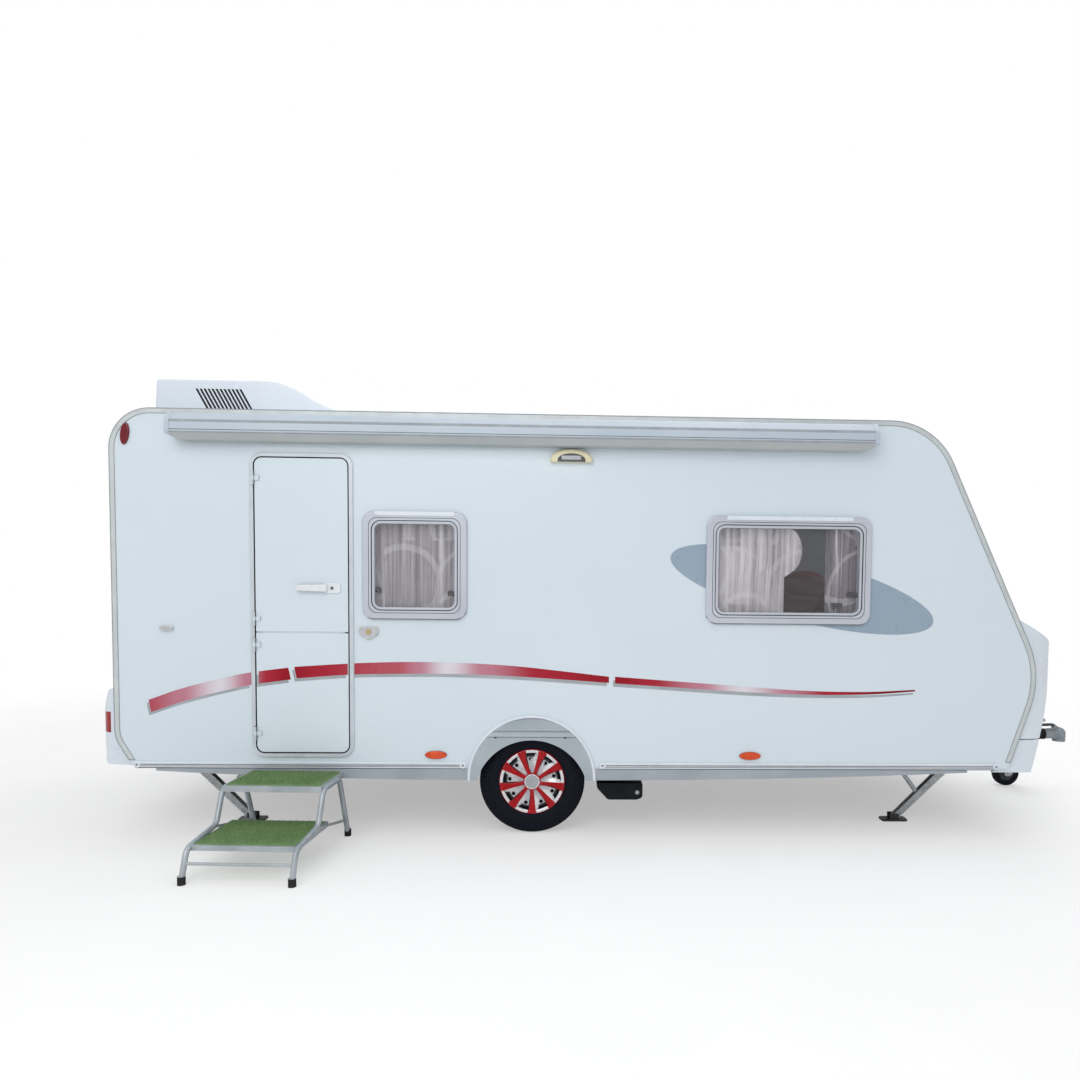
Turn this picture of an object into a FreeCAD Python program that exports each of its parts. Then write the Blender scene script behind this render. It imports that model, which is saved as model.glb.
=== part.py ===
import FreeCAD, Part
import os
from math import atan2, cos, degrees, hypot, radians, sin, sqrt, tan
from FreeCAD import Placement, Rotation, Vector

os.makedirs("parts", exist_ok=True)

# Travel caravan in millimetres. +X points to the drawbar, +Z up, the door side faces -Y.
# The origin is the point on the ground under the middle of the axle.

# Body shell
BODY_W = 2300
ROOF_Z = 2552
FLOOR_Z = 500
FLOOR_T = 45
WALL_T = 32
ROOF_T = 40
WALL_BOTTOM_Z = 424
REAR_X = -2490
REAR_TOP_R = 240
REAR_KINK_Z = 600
REAR_KINK_R = 180
REAR_FOOT_X = -2385
SLOPE_TOP_X = 2436
FRONT_TOP_R = 430
NOSE_X = 3153
NOSE_Z = 1014
NOSE_R = 545
NOSE_FOOT_X = NOSE_X - 193
LINE_GAP = 0.3

# Edge trim and lower rails
TRIM_W = 26
TRIM_T = 4
RAIL_Z = (416, 456)
RAIL_T = 12
RAIL_REAR = (-2378, -399)
RAIL_FRONT = (415, 2897)
RAIL_CAP_L = 34
RAIL_CAP_LAP = 3
SKIRT_T = 8
SKIRT_END_DROP = 16
SKIRT_MID_DROP = 69
SKIRT_BELLY = 12
SKIRT_REAR = (-2250, -391)
SKIRT_FRONT = (391, 2700)

# Door opening in the right wall
DOOR_X = (-1679, -1070)
DOOR_Z = (484, 2305)
DOOR_FRAME_W = 24
DOOR_FRAME_PROUD = 10
DOOR_LIP = 12
DOOR_GAP = 7
DOOR_SPLIT_Z = 1239
DOOR_T = 28
DOOR_R = 75
HINGE_Z = (2154, 1320, 1164, 630)
HINGE_LEN = 84
HINGE_PIN_R = 4
HINGE_R = 8
PIN_PLAY = 0.05
HANDLE_AT = (-1193, 1506)
HANDLE_PLATE = (98, 62)
HANDLE_LEVER = (160, 34, 44)
CATCH_AT = (-2174, 1258)
CATCH_SIZE = (78, 26)
LOCK_AT = (-981, 1242)
LOCK_SHIELD = (63, 34, -44)

# Windows: centre along the wall, centre height, width, height
KITCHEN_WINDOW = (-705, 1645, 623, 646)
DINETTE_WINDOW = (1555, 1640, 1012, 657)
WINDOW_BORDER = 56
WINDOW_R = 70
WINDOW_PROUD = 20
WINDOW_ROUND = 9
WINDOW_GROOVE = (38, 41)
WINDOW_RAIL = 27
PANE_T = 12
PANE_SEAT = 4
FRONT_WINDOW = (1760, 560)
FRONT_WINDOW_Z = 1900
REAR_WINDOW = (1100, 520)
REAR_WINDOW_Z = 1640
CURTAIN_T = 24
CURTAIN_INSET = 30
CURTAIN_GAP = (1539, 1796)
BLIND_INSET = 24
BLIND_T = 6
BLIND_RAIL_D = 34

# Awning
AWNING_X = (-2112, 2052)
AWNING_Z = (2356, 2516)
AWNING_DEPTH = 122
AWNING_CAP_L = 26
AWNING_GROOVES = (46, 104, 124)
AWNING_CHAMFER = (84, 36)
LIGHT_X = 228
LIGHT_Z = (2272, 2350)
LIGHT_W = 258
LIGHT_PROUD = 34
LENS_INSET = 46

# Roof
AC_X = (-2328, -1207)
AC_W = 670
AC_INSET = 200
AC_H = 221
AC_NOSE_L = 350
AC_NOSE_R = 450
AC_SLOTS = 12
AC_SLOT_X = 250
AC_SLOT_W = 14
AC_SLOT_PITCH = 24
AC_SLOT_LEAN = 66
VENT_X = 108
VENT_INSET = 550
VENT_H = 112
SKYLIGHT_POS = (560, 100)
SKYLIGHT = 500
SKYLIGHT_H = 62
SKYLIGHT_LID_T = 26
SKYLIGHT_SKIRT = 30

# Gas locker
LOCKER_W = BODY_W - 2 * TRIM_W - 8
LOCKER_TOP_Z = 1360
LOCKER_T = 20
LOCKER_PROUD = 159
LOCKER_BROW_Z = 1190
LOCKER_WAIST = (109, 860)
LOCKER_FOOT = 168
LOCKER_CORNER_R = 240
LOCKER_OPEN_W = 1560
LOCKER_OPEN_Z = (640, 1190)
LOCKER_BACK_X = NOSE_X - 513
LOCKER_BOARD_T = 20
LOCKER_SPLIT_Z = 600
LID_GAP = 6
DRAWBAR_NOTCH_W = 500

# Bumper and lamps
BUMPER_W = BODY_W - 90
BUMPER_T = 8
BUMPER_Z = (420, 885)
BUMPER_BROW_Z = 705
BUMPER_GROOVE_Z = (474, 490)
BUMPER_GROOVE = 36
BUMPER_PROUD = 125
BUMPER_CORNER_R = 100
LAMP_Z = (620, 745)
LAMP_W = 330
LAMP_INNER = 52
MARKER_POS = (-2397, 2402)
MARKER_SIZE = (50, 128)
MARKER_TILT = 8
MARKER_T = 14
SIDE_MARKER_X = (-580, 1340)
SIDE_MARKER_Z = 500
SIDE_MARKER_SIZE = (133, 49)

# Chassis
RAIL_Y = 560
CHASSIS_Z = (355, 455)
CHASSIS_X = (-2230, 2780)
CHASSIS_FLANGE = 45
CHASSIS_GAP = 3
SHEET = 4
OUTRIGGER_Y = 860
CROSS_X = (-2100, -1150, 720, 1500)
CROSS_W = 40
CROSS_H = 60
DRAWBAR_START_X = 2000
DRAWBAR_TIP_X = 3740
DRAWBAR_TIP_Y = 44
DRAWBAR_PLATE_T = 8
TONGUE_X = 3580
TONGUE_DROP = 60
BRACE_X = 3040
BRAKE_X = 3510
BRAKE_Y = -98
BRAKE_PIVOT_H = 46
BRAKE_PIN_R = 8
LEVER_T = 12
COUPLING_X = 3980
COUPLING_Z = 395
COUPLING_RISE = 40
COUPLING_TUBE_R = 24
COUPLING_HEAD_R = 46
GAITER_R = (33, 41)
GAITER_RIBS = 6
BALL_R = 25.3

# Wheels
WHEEL_INSET = 138
TYRE_R = 325
TYRE_W = 185
TREAD_SIDE = 16
RIM_R = 190
RIM_W = 140
TRIM_R = 202
TRIM_PROUD = 3
TRIM_DEPTH = 16
TRIM_PLATE_R = 163
TRIM_HUB_R = 52
SPOKES = 9
SPOKE_TURN = 20
TRIM_HOLE_R = 12
TRIM_HOLE_AT = 138
HUB_PIN_R = 20
AXLE_X = 165
AXLE_Z = 300
AXLE_FLATS = 84
AXLE_INSET = 290
ARCH_R = 390
ARCH_Z = 355
ARCH_OPEN_R = 348
ARCH_OPEN_Z = 245
ARCH_PROUD = 12
ARCH_BEAD = 16
ARCH_STEP_Z = (651, 614)
ARCH_NOTCH_X = (-220, 203)
ARCH_BOTTOM_Z = 346
WHEEL_BOX_X = 430
WHEEL_BOX_INSET = 260
WHEEL_BOX_Z = 760
WHEEL_BOX_T = 14

# Jockey wheel
JOCKEY_ALONG = 1735
JOCKEY_OUT = 95
JOCKEY_TOP = 660
JOCKEY_INNER_TOP = 500
JOCKEY_TUBE_R = 30
JOCKEY_INNER_R = 24
JOCKEY_PIN_R = 8
JOCKEY_WHEEL_R = 100
JOCKEY_WHEEL_W = 60
JOCKEY_TRAIL = 46

# Corner steadies
STEADY_INSET = 350
STEADY_PIVOT_Z = 345
STEADY_PIVOT_X = (-2150, 2715)
STEADY_RUN = 330
STEADY_W = 46
STEADY_WEB_Z = 24
STEADY_PIN_R = 7
STEADY_JOINT = 240
STRUT_L = 208
STRUT_HALF = 12
FOOT_L = 170
FOOT_W = 90

# Mover
MOVER_X = (385, 690)
MOVER_Z = (196, 300)
MOVER_ARM = (505, 585)

# Far side
HATCH_POS = (-1500, 820)
HATCH_SIZE = (360, 340)
HATCH_T = 14
HATCH_LAP = 40
BAY_DEPTH = 420
BAY_T = 12
VENT_Z = (880, 1320)
VENT_SIZE = (420, 200)
FRIDGE_VENT_X = 180

# Interior
SEAT_H = 380
BENCH_X = (900, LOCKER_BACK_X - 80)
BENCH_D = 640
CHEST_X = 2100
CABINET_X = (2050, 2420)
CABINET_D = 330
CABINET_TOP = 1610
KITCHEN_X = (-330, 800)
KITCHEN_D = 560
KITCHEN_TOP = 1300
WARDROBE_X = (-1060, -460)
WARDROBE_D = 600
WARDROBE_TOP = 1290
BUNK_X = (-2360, -1780)
BUNK_TOP = 940
TABLE_X = (1150, 1950)
TABLE_W = 720
TABLE_Z = 1180
TABLE_T = 26
CUSHION_X = 905
CUSHION_T = 120
BACKREST = (103, 400)

# Step
STEP_X = -1420
STEP_W = 566
STEP_TURN = -3
STEP_Y = -400
STEP_TUBE_R = 15
STEP_TOP_Z = 386
STEP_LOW_Z = 172
STEP_FOOT_Y = (-818, 20)
TREAD_Y = ((-395, -30), (-745, -290))
TREAD_Z = ((370, 404), (152, 180))
TREAD_RIM = 14
STRETCHER_R = 8

HALF_W = BODY_W / 2
WHEEL_Y = HALF_W - WHEEL_INSET
STEADY_Y = HALF_W - STEADY_INSET
WHEEL_Z = TYRE_R
DOOR_MID_X = sum(DOOR_X) / 2
SLOPE = (NOSE_X - SLOPE_TOP_X) / (ROOF_Z - NOSE_Z)
SLOPE_DEG = degrees(atan2(SLOPE, 1))
FAR = 2 * NOSE_X


def block(x, y, z):
    """Box between three pairs of limits."""
    return Part.makeBox(x[1] - x[0], y[1] - y[0], z[1] - z[0], Vector(x[0], y[0], z[0]))


def mirror(shape):
    """Copy on the other side of the caravan."""
    return shape.mirror(Vector(0, 0, 0), Vector(0, 1, 0))


def both(shape):
    """The shape and its mirror image."""
    return [shape, mirror(shape)]


def export(node, *solids):
    """Write one node as a STEP file."""
    shape = solids[0] if len(solids) == 1 else Part.makeCompound(list(solids))
    shape.exportStep("parts/" + node + ".step")


def rod(start, end, radius):
    """Round bar between two points."""
    a, b = Vector(*start), Vector(*end)
    return Part.makeCylinder(radius, (b - a).Length, a, b - a)


def fuse(*shapes):
    """Join shapes into one solid without seams."""
    return shapes[0].fuse(list(shapes[1:])).removeSplitter()


def outline(corners, place):
    """Closed face through (u, v, radius) corners, each rounded by a tangent arc."""
    starts, ends, mids = [], [], []
    count = len(corners)
    for i, (u, v, r) in enumerate(corners):
        here = Vector(u, v, 0)
        before = (Vector(*corners[i - 1][:2], 0) - here).normalize()
        after = (Vector(*corners[(i + 1) % count][:2], 0) - here).normalize()
        half = before.getAngle(after) / 2
        reach = r / tan(half) if r else 0
        starts.append(here + before * reach)
        ends.append(here + after * reach)
        centre = here + (before + after).normalize() * (r / sin(half)) if r else here
        mids.append(centre + (here - centre).normalize() * r if r else None)
    edges = []
    for i in range(count):
        if mids[i]:
            arc = Part.Arc(place(starts[i]), place(mids[i]), place(ends[i]))
            edges.append(arc.toShape())
        start, end = place(ends[i]), place(starts[(i + 1) % count])
        if (end - start).Length > 0.01:
            edges.append(Part.LineSegment(start, end).toShape())
    return Part.Face(Part.Wire(edges))


def bent_tube(corners, radius, place):
    """Round tube along straight runs joined by arcs, through (u, v, bend radius) corners."""
    points = [Vector(u, v, 0) for u, v, bend in corners]
    edges, start = [], points[0]
    for i in range(1, len(points) - 1):
        here, bend = points[i], corners[i][2]
        before = (points[i - 1] - here).normalize()
        after = (points[i + 1] - here).normalize()
        half = before.getAngle(after) / 2
        first, last = here + before * (bend / tan(half)), here + after * (bend / tan(half))
        centre = here + (before + after).normalize() * (bend / sin(half))
        middle = centre + (here - centre).normalize() * bend
        edges.append(Part.LineSegment(place(start), place(first)).toShape())
        edges.append(Part.Arc(place(first), place(middle), place(last)).toShape())
        start = last
    edges.append(Part.LineSegment(place(start), place(points[-1])).toShape())
    foot, ahead = place(points[0]), place(points[1])
    ring = Part.Wire(Part.makeCircle(radius, foot, ahead - foot))
    return Part.Wire(edges).makePipeShell([ring], True, False)


def side_plane(y):
    """Places outline points in a vertical plane along the caravan."""
    return lambda p: Vector(p.x, y, p.y)


def cross_plane(x):
    """Places outline points in a vertical plane across the caravan."""
    return lambda p: Vector(x, p.x, p.y)


def level_plane(z):
    """Places outline points in a level plane."""
    return lambda p: Vector(p.x, p.y, z)


def body_corners():
    """Corners of the body's side outline, from the rear foot round to the nose foot."""
    return [(REAR_FOOT_X, WALL_BOTTOM_Z, 0), (REAR_X, REAR_KINK_Z, REAR_KINK_R),
            (REAR_X, ROOF_Z, REAR_TOP_R), (SLOPE_TOP_X, ROOF_Z, FRONT_TOP_R),
            (NOSE_X, NOSE_Z, NOSE_R), (NOSE_FOOT_X, WALL_BOTTOM_Z, 0)]


def body_face(y, grow=0):
    """Side outline of the body, grown or shrunk by an offset."""
    face = outline(body_corners(), side_plane(y))
    return face.makeOffset2D(grow) if grow else face


def body_slab(y_low, y_high, grow=0):
    """The body's outline as a slab between two planes."""
    return body_face(y_low, grow).extrude(Vector(0, y_high - y_low, 0))


def rounded_plate(w, h, r, low, high):
    """Plate with round corners about the Y axis, between two depths."""
    corners = [(-w / 2, -h / 2, r), (-w / 2, h / 2, r), (w / 2, h / 2, r), (w / 2, -h / 2, r)]
    return outline(corners, side_plane(low)).extrude(Vector(0, high - low, 0))


def front_edges(shape, y):
    """Edges of a shape that lie in the plane at this depth."""
    return [e for e in shape.Edges if max(abs(e.BoundBox.YMin - y), abs(e.BoundBox.YMax - y)) < 0.01]


def slope_x(z):
    """Distance forward of the front slope at a height."""
    return SLOPE_TOP_X + (ROOF_Z - z) * SLOPE


def window_places():
    """Every window's width, height and place; its outside faces local -Y."""
    spots = []
    for x, z, w, h in (KITCHEN_WINDOW, DINETTE_WINDOW):
        spots.append((w, h, Placement(Vector(x, -HALF_W, z), Rotation(0, 0, 0))))
        spots.append((w, h, Placement(Vector(x, HALF_W, z), Rotation(180, 0, 0))))
    front = Vector(slope_x(FRONT_WINDOW_Z), 0, FRONT_WINDOW_Z)
    spots.append((*FRONT_WINDOW, Placement(front, Rotation(90, 0, -SLOPE_DEG))))
    rear = Vector(REAR_X, 0, REAR_WINDOW_Z)
    spots.append((*REAR_WINDOW, Placement(rear, Rotation(-90, 0, 0))))
    return spots


def placed(shape, place):
    """Copy of a shape moved to a placement."""
    moved = shape.copy()
    moved.Placement = place
    return moved


def hole_size(w, h):
    """Cut-out in the wall behind a window of this outer size."""
    edge = 2 * WINDOW_BORDER + 10
    return w - edge, h - edge


def window_hole(w, h):
    """Cutter for a window, clear of both faces of a wall."""
    return rounded_plate(*hole_size(w, h), WINDOW_R - 20, -30, ROOF_T + 40)


def window_frame(w, h, wall):
    """Moulded frame: round flange with a groove, hinge rail, pane rebate, collar and blind frame."""
    hole_w, hole_h = hole_size(w, h)
    front = -WINDOW_PROUD
    flange = rounded_plate(w, h, WINDOW_R, front, 0)
    flange = flange.makeFillet(WINDOW_ROUND, front_edges(flange, front))
    near, far = WINDOW_GROOVE
    groove = rounded_plate(w - 2 * near, h - 2 * near, WINDOW_R - near / 2, front - 1, front + 3)
    ridge = rounded_plate(w - 2 * far, h - 2 * far, WINDOW_R - far / 2, front - 2, front + 4)
    rail = block((-w * 0.38, w * 0.38), (front - 5, -2), (h / 2 - WINDOW_RAIL, h / 2 - 1))
    rail = rail.makeFillet(4, front_edges(rail, front - 5))
    collar = rounded_plate(hole_w - 2 * LINE_GAP, hole_h - 2 * LINE_GAP, WINDOW_R - 20, 0, wall)
    inside = rounded_plate(w - BLIND_INSET, h - BLIND_INSET, WINDOW_R - 10, wall, wall + BLIND_T)
    blind_top = h / 2 - BLIND_INSET
    blind = block((BLIND_INSET - w / 2, w / 2 - BLIND_INSET), (wall, wall + BLIND_RAIL_D),
                  (blind_top - 16, blind_top + 8))
    through = rounded_plate(hole_w - 24, hole_h - 24, WINDOW_R - 30, front - 9, wall + BLIND_RAIL_D + 1)
    pane_w, pane_h = w - 2 * WINDOW_BORDER, h - 2 * WINDOW_BORDER
    rebate = rounded_plate(pane_w + 2 * LINE_GAP, pane_h + 2 * LINE_GAP, WINDOW_R - 14, front - 9, -PANE_SEAT)
    flange = flange.cut(groove.cut(ridge))
    return fuse(flange, collar, inside, rail, blind).cut([through, rebate])


def window_pane(w, h):
    """Acrylic pane, seated on the frame's rebate."""
    front = -PANE_SEAT - PANE_T
    pane = rounded_plate(w - 2 * WINDOW_BORDER, h - 2 * WINDOW_BORDER, WINDOW_R - 14, front, -PANE_SEAT)
    return pane.makeChamfer(3, front_edges(pane, front))


def build_windows():
    """Frames and panes of all windows."""
    frames, panes = [], []
    for w, h, place in window_places():
        wall = WALL_T if abs(place.Base.y) > 1 else ROOF_T
        frames.append(placed(window_frame(w, h, wall), place))
        panes.append(placed(window_pane(w, h), place))
    export("window_frames", *frames)
    export("window_panes", *panes)


def build_curtains():
    """Drawn curtains hanging from the blind frames of the side windows."""
    face = -HALF_W + WALL_T + BLIND_T + LINE_GAP
    cloths = []
    for x, z, w, h in (KITCHEN_WINDOW, DINETTE_WINDOW):
        low, high = x - w / 2 + CURTAIN_INSET, x + w / 2 - CURTAIN_INSET
        spans = [(low, high)]
        if (x, z, w, h) == DINETTE_WINDOW:
            spans = [(low, CURTAIN_GAP[0]), (CURTAIN_GAP[1], high)]
        top = z + h / 2 - BLIND_INSET - 16 - LINE_GAP
        for span in spans:
            cloths += both(block(span, (face, face + CURTAIN_T), (z - h / 2 + 10, top)))
    export("curtains", *cloths)


def wheel_arch_hole():
    """Cutter for the wheel opening through the right wall."""
    return Part.makeCylinder(ARCH_R - 12, WALL_T + 40, Vector(0, -HALF_W - 20, ARCH_Z), Vector(0, 1, 0))


def build_side_walls():
    """Side walls with window, door and wheel openings."""
    wall = body_slab(-HALF_W, -HALF_W + WALL_T)
    holes = [wheel_arch_hole()]
    for w, h, place in window_places():
        if abs(place.Base.y + HALF_W) < 1:
            holes.append(placed(window_hole(w, h), place))
    plain = wall.cut(holes)
    export("side_wall_left", mirror(plain).cut(hatch_plate(-HATCH_LAP, -WALL_T - 20, 20)))
    door_w, door_h = DOOR_X[1] - DOOR_X[0], DOOR_Z[1] - DOOR_Z[0]
    hole = rounded_plate(door_w - 2 * DOOR_LIP, door_h - 2 * DOOR_LIP, DOOR_R - DOOR_LIP,
                         -HALF_W - 20, -HALF_W + 60)
    hole.translate(Vector(DOOR_MID_X, 0, sum(DOOR_Z) / 2))
    export("side_wall_right", plain.cut(hole))


def shell_ring():
    """Roof, front and rear skin between the side walls, before it is split."""
    inner = HALF_W - WALL_T
    outer = body_slab(-inner, inner)
    core = body_face(-inner - 1, -ROOF_T).extrude(Vector(0, 2 * inner + 2, 0))
    below = block((-FAR, FAR), (-FAR, FAR), (0, FLOOR_Z))
    return outer.cut([core, below])


def build_panels():
    """Roof, rear and front panels, each a stretch of the same skin."""
    ring = shell_ring()
    wide = (-BODY_W, BODY_W)
    roof_zone = block((REAR_X + REAR_TOP_R, SLOPE_TOP_X - 260), wide, (ROOF_Z - 300, ROOF_Z + 50))
    rear_zone = block((REAR_X - 50, REAR_X + REAR_TOP_R), wide, (0, ROOF_Z + 50))
    front_zone = block((SLOPE_TOP_X - 260, NOSE_X + 100), wide, (0, ROOF_Z + 50))
    w = LOCKER_OPEN_W / 2
    mouth = block((LOCKER_BACK_X, NOSE_X + 100), (-w, w), LOCKER_OPEN_Z)
    cuts = {}
    for w, h, place in window_places():
        if abs(place.Base.y) < 1:
            cuts[place.Base.x > 0] = placed(window_hole(w, h), place)
    x, y = SKYLIGHT_POS
    half = SKYLIGHT / 2 - 40
    hatch = block((x - half, x + half), (y - half, y + half), (ROOF_Z - 200, ROOF_Z + 100))
    export("roof_panel", ring.common(roof_zone).cut(hatch))
    export("rear_panel", ring.common(rear_zone).cut(cuts[False]))
    export("front_panel", ring.common(front_zone).cut([cuts[True], mouth]))


def build_floor():
    """Floor board with a box over each wheel."""
    inner = HALF_W - WALL_T - LINE_GAP
    board = block((REAR_X + 110, LOCKER_BACK_X - 20), (-inner, inner), (FLOOR_Z - FLOOR_T, FLOOR_Z))
    box_y = WHEEL_BOX_INSET - HALF_W
    outer = block((-WHEEL_BOX_X, WHEEL_BOX_X), (-inner, box_y), (FLOOR_Z - 1, WHEEL_BOX_Z))
    reach = WHEEL_BOX_X - WHEEL_BOX_T
    hollow = block((-reach, reach), (-inner - 1, box_y - WHEEL_BOX_T),
                   (FLOOR_Z - FLOOR_T - 1, WHEEL_BOX_Z - WHEEL_BOX_T))
    export("floor_panel", fuse(board, *both(outer)).cut(both(hollow)))


def build_trims():
    """Edge trim: an angle along the body outline on each side."""
    face_strip = body_slab(-HALF_W - TRIM_T, -HALF_W, TRIM_T)
    face_strip = face_strip.cut(body_slab(-HALF_W - TRIM_T - 1, -HALF_W + 1, -TRIM_W))
    lip = body_slab(-HALF_W, -HALF_W + TRIM_W, TRIM_T).cut(body_slab(-HALF_W - 1, -HALF_W + TRIM_W + 1))
    below = block((-FAR, FAR), (-FAR, FAR), (0, RAIL_Z[1] + RAIL_CAP_LAP + 3))
    export("edge_trims", *both(fuse(face_strip, lip).cut(below)))


def skirt(x_low, x_high, low_end, high_end):
    """Skirt plate whose lower edge is an arc from end drop to mid drop."""
    top = RAIL_Z[0]
    y = -HALF_W - SKIRT_T
    mid = (x_low + x_high) / 2
    a, b = Vector(x_low, y, top), Vector(x_high, y, top)
    c, d = Vector(x_high, y, top - high_end), Vector(x_low, y, top - low_end)
    drop = (low_end + high_end) / 2 + SKIRT_BELLY
    edge = Part.Arc(c, Vector(mid, y, top - drop), d).toShape()
    lines = [Part.LineSegment(p, q).toShape() for p, q in ((d, a), (a, b), (b, c))]
    return Part.Face(Part.Wire(lines + [edge])).extrude(Vector(0, SKIRT_T, 0))


def side_rail(low, high):
    """Grooved lower rail on the right wall with a round cap at each end."""
    front = -HALF_W - RAIL_T
    z0, z1 = RAIL_Z
    bar = block((low + RAIL_CAP_L / 2, high - RAIL_CAP_L / 2), (front, -HALF_W), RAIL_Z)
    bar = bar.makeFillet(4, front_edges(bar, front))
    groove_z = z0 + (z1 - z0) / 3
    bar = bar.cut(block((low, high), (front - 1, front + 3), (groove_z - 2, groove_z + 2)))
    caps = []
    for x in (low + RAIL_CAP_L / 2, high - RAIL_CAP_L / 2):
        cap = rounded_plate(RAIL_CAP_L, z1 - z0 + RAIL_CAP_LAP, 15, front - RAIL_CAP_LAP, -HALF_W)
        cap = cap.makeFillet(3, front_edges(cap, front - RAIL_CAP_LAP))
        cap.translate(Vector(x, 0, (z0 + z1 + RAIL_CAP_LAP) / 2))
        caps.append(cap)
    return fuse(bar, *caps)


def build_rails():
    """Lower side rails, and the skirts under them."""
    rails = both(side_rail(*RAIL_REAR)) + both(side_rail(*RAIL_FRONT))
    skirts = both(skirt(*SKIRT_REAR, SKIRT_END_DROP, SKIRT_MID_DROP))
    skirts += both(skirt(*SKIRT_FRONT, SKIRT_MID_DROP, SKIRT_END_DROP))
    export("side_rails", *rails)
    export("side_skirts", *skirts)


def build_arch_covers():
    """Wheel arch covers: a bead round the edge, two overlapping steps and the wheel opening."""
    axis = Vector(0, 1, 0)
    step_1, step_2 = ARCH_STEP_Z
    p = ARCH_PROUD
    section = [(0, ARCH_BOTTOM_Z, 0), (0, ARCH_Z + ARCH_R, 0), (5, ARCH_Z + ARCH_R, 0),
               (p + 4, step_1 + 3, 4), (p + 4, step_1, 0), (p - 6, step_1 - 2, 0),
               (p + 3, step_2 + 3, 4), (p + 3, step_2, 0), (p - 6, step_2 - 2, 0),
               (p, step_2 - 14, 6), (p, ARCH_BOTTOM_Z, 0)]
    face = outline(section, lambda q: Vector(-ARCH_R, -HALF_W - q.x, q.y))
    body = face.extrude(Vector(2 * ARCH_R, 0, 0))
    inside = Part.makeCylinder(ARCH_R - ARCH_BEAD + 2, 60, Vector(0, -HALF_W - 50, ARCH_Z), axis)
    front = -HALF_W - ARCH_PROUD - 4
    disc = Part.makeCylinder(ARCH_R, -HALF_W - front, Vector(0, front, ARCH_Z), axis)
    core = Part.makeCylinder(ARCH_R - ARCH_BEAD, 60, Vector(0, -HALF_W - 50, ARCH_Z), axis)
    bead = disc.cut(core)
    bead = bead.makeFillet(5, front_edges(bead, front))
    notches = []
    for x in ARCH_NOTCH_X:
        corners = [(x - 10, step_2 - 1, 0), (x + 10, step_2 - 1, 0), (x, step_2 - 14, 0)]
        notches.append(outline(corners, side_plane(-HALF_W - 50)).extrude(Vector(0, 60, 0)))
    opening = Part.makeCylinder(ARCH_OPEN_R, 80, Vector(0, -HALF_W - 50, ARCH_OPEN_Z), axis)
    below = block((-FAR, FAR), (-FAR, FAR), (0, ARCH_BOTTOM_Z))
    cover = fuse(body.common(inside), bead).cut([opening, below, *notches])
    export("wheel_arch_covers", *both(cover))


def door_plate(inset, z_low, z_high, y_low, y_high):
    """Slice of the rounded door outline, inset from the frame's outer edge."""
    w = DOOR_X[1] - DOOR_X[0] - 2 * inset
    h = DOOR_Z[1] - DOOR_Z[0] - 2 * inset
    plate = rounded_plate(w, h, DOOR_R - inset, y_low, y_high)
    plate.translate(Vector(DOOR_MID_X, 0, sum(DOOR_Z) / 2))
    return plate.common(block((-FAR, FAR), (-FAR, FAR), (z_low, z_high)))


def door_hinge(x, y, z, face):
    """One hinge: the frame's pin with two knuckles, the leaf's knuckle with its strap, and its bore."""
    low, third = z - HINGE_LEN / 2, HINGE_LEN / 3
    fixed = [Part.makeCylinder(HINGE_PIN_R, HINGE_LEN, Vector(x, y, low))]
    for base in (low, low + 2 * third):
        fixed.append(Part.makeCylinder(HINGE_R, third - 1, Vector(x, y, base + 0.5)))
        fixed.append(block((x - 20, x), (y + HINGE_R - 3, face), (base + 0.5, base + third - 0.5)))
    mid = (low + third + 0.5, low + 2 * third - 0.5)
    knuckle = Part.makeCylinder(HINGE_R, third - 1, Vector(x, y, mid[0]))
    strap = block((x, x + 36), (y + HINGE_R / 2, face), mid)
    bore = Part.makeCylinder(HINGE_PIN_R + PIN_PLAY, third + 2, Vector(x, y, low + third - 1))
    return fixed, (knuckle, strap), bore


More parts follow.
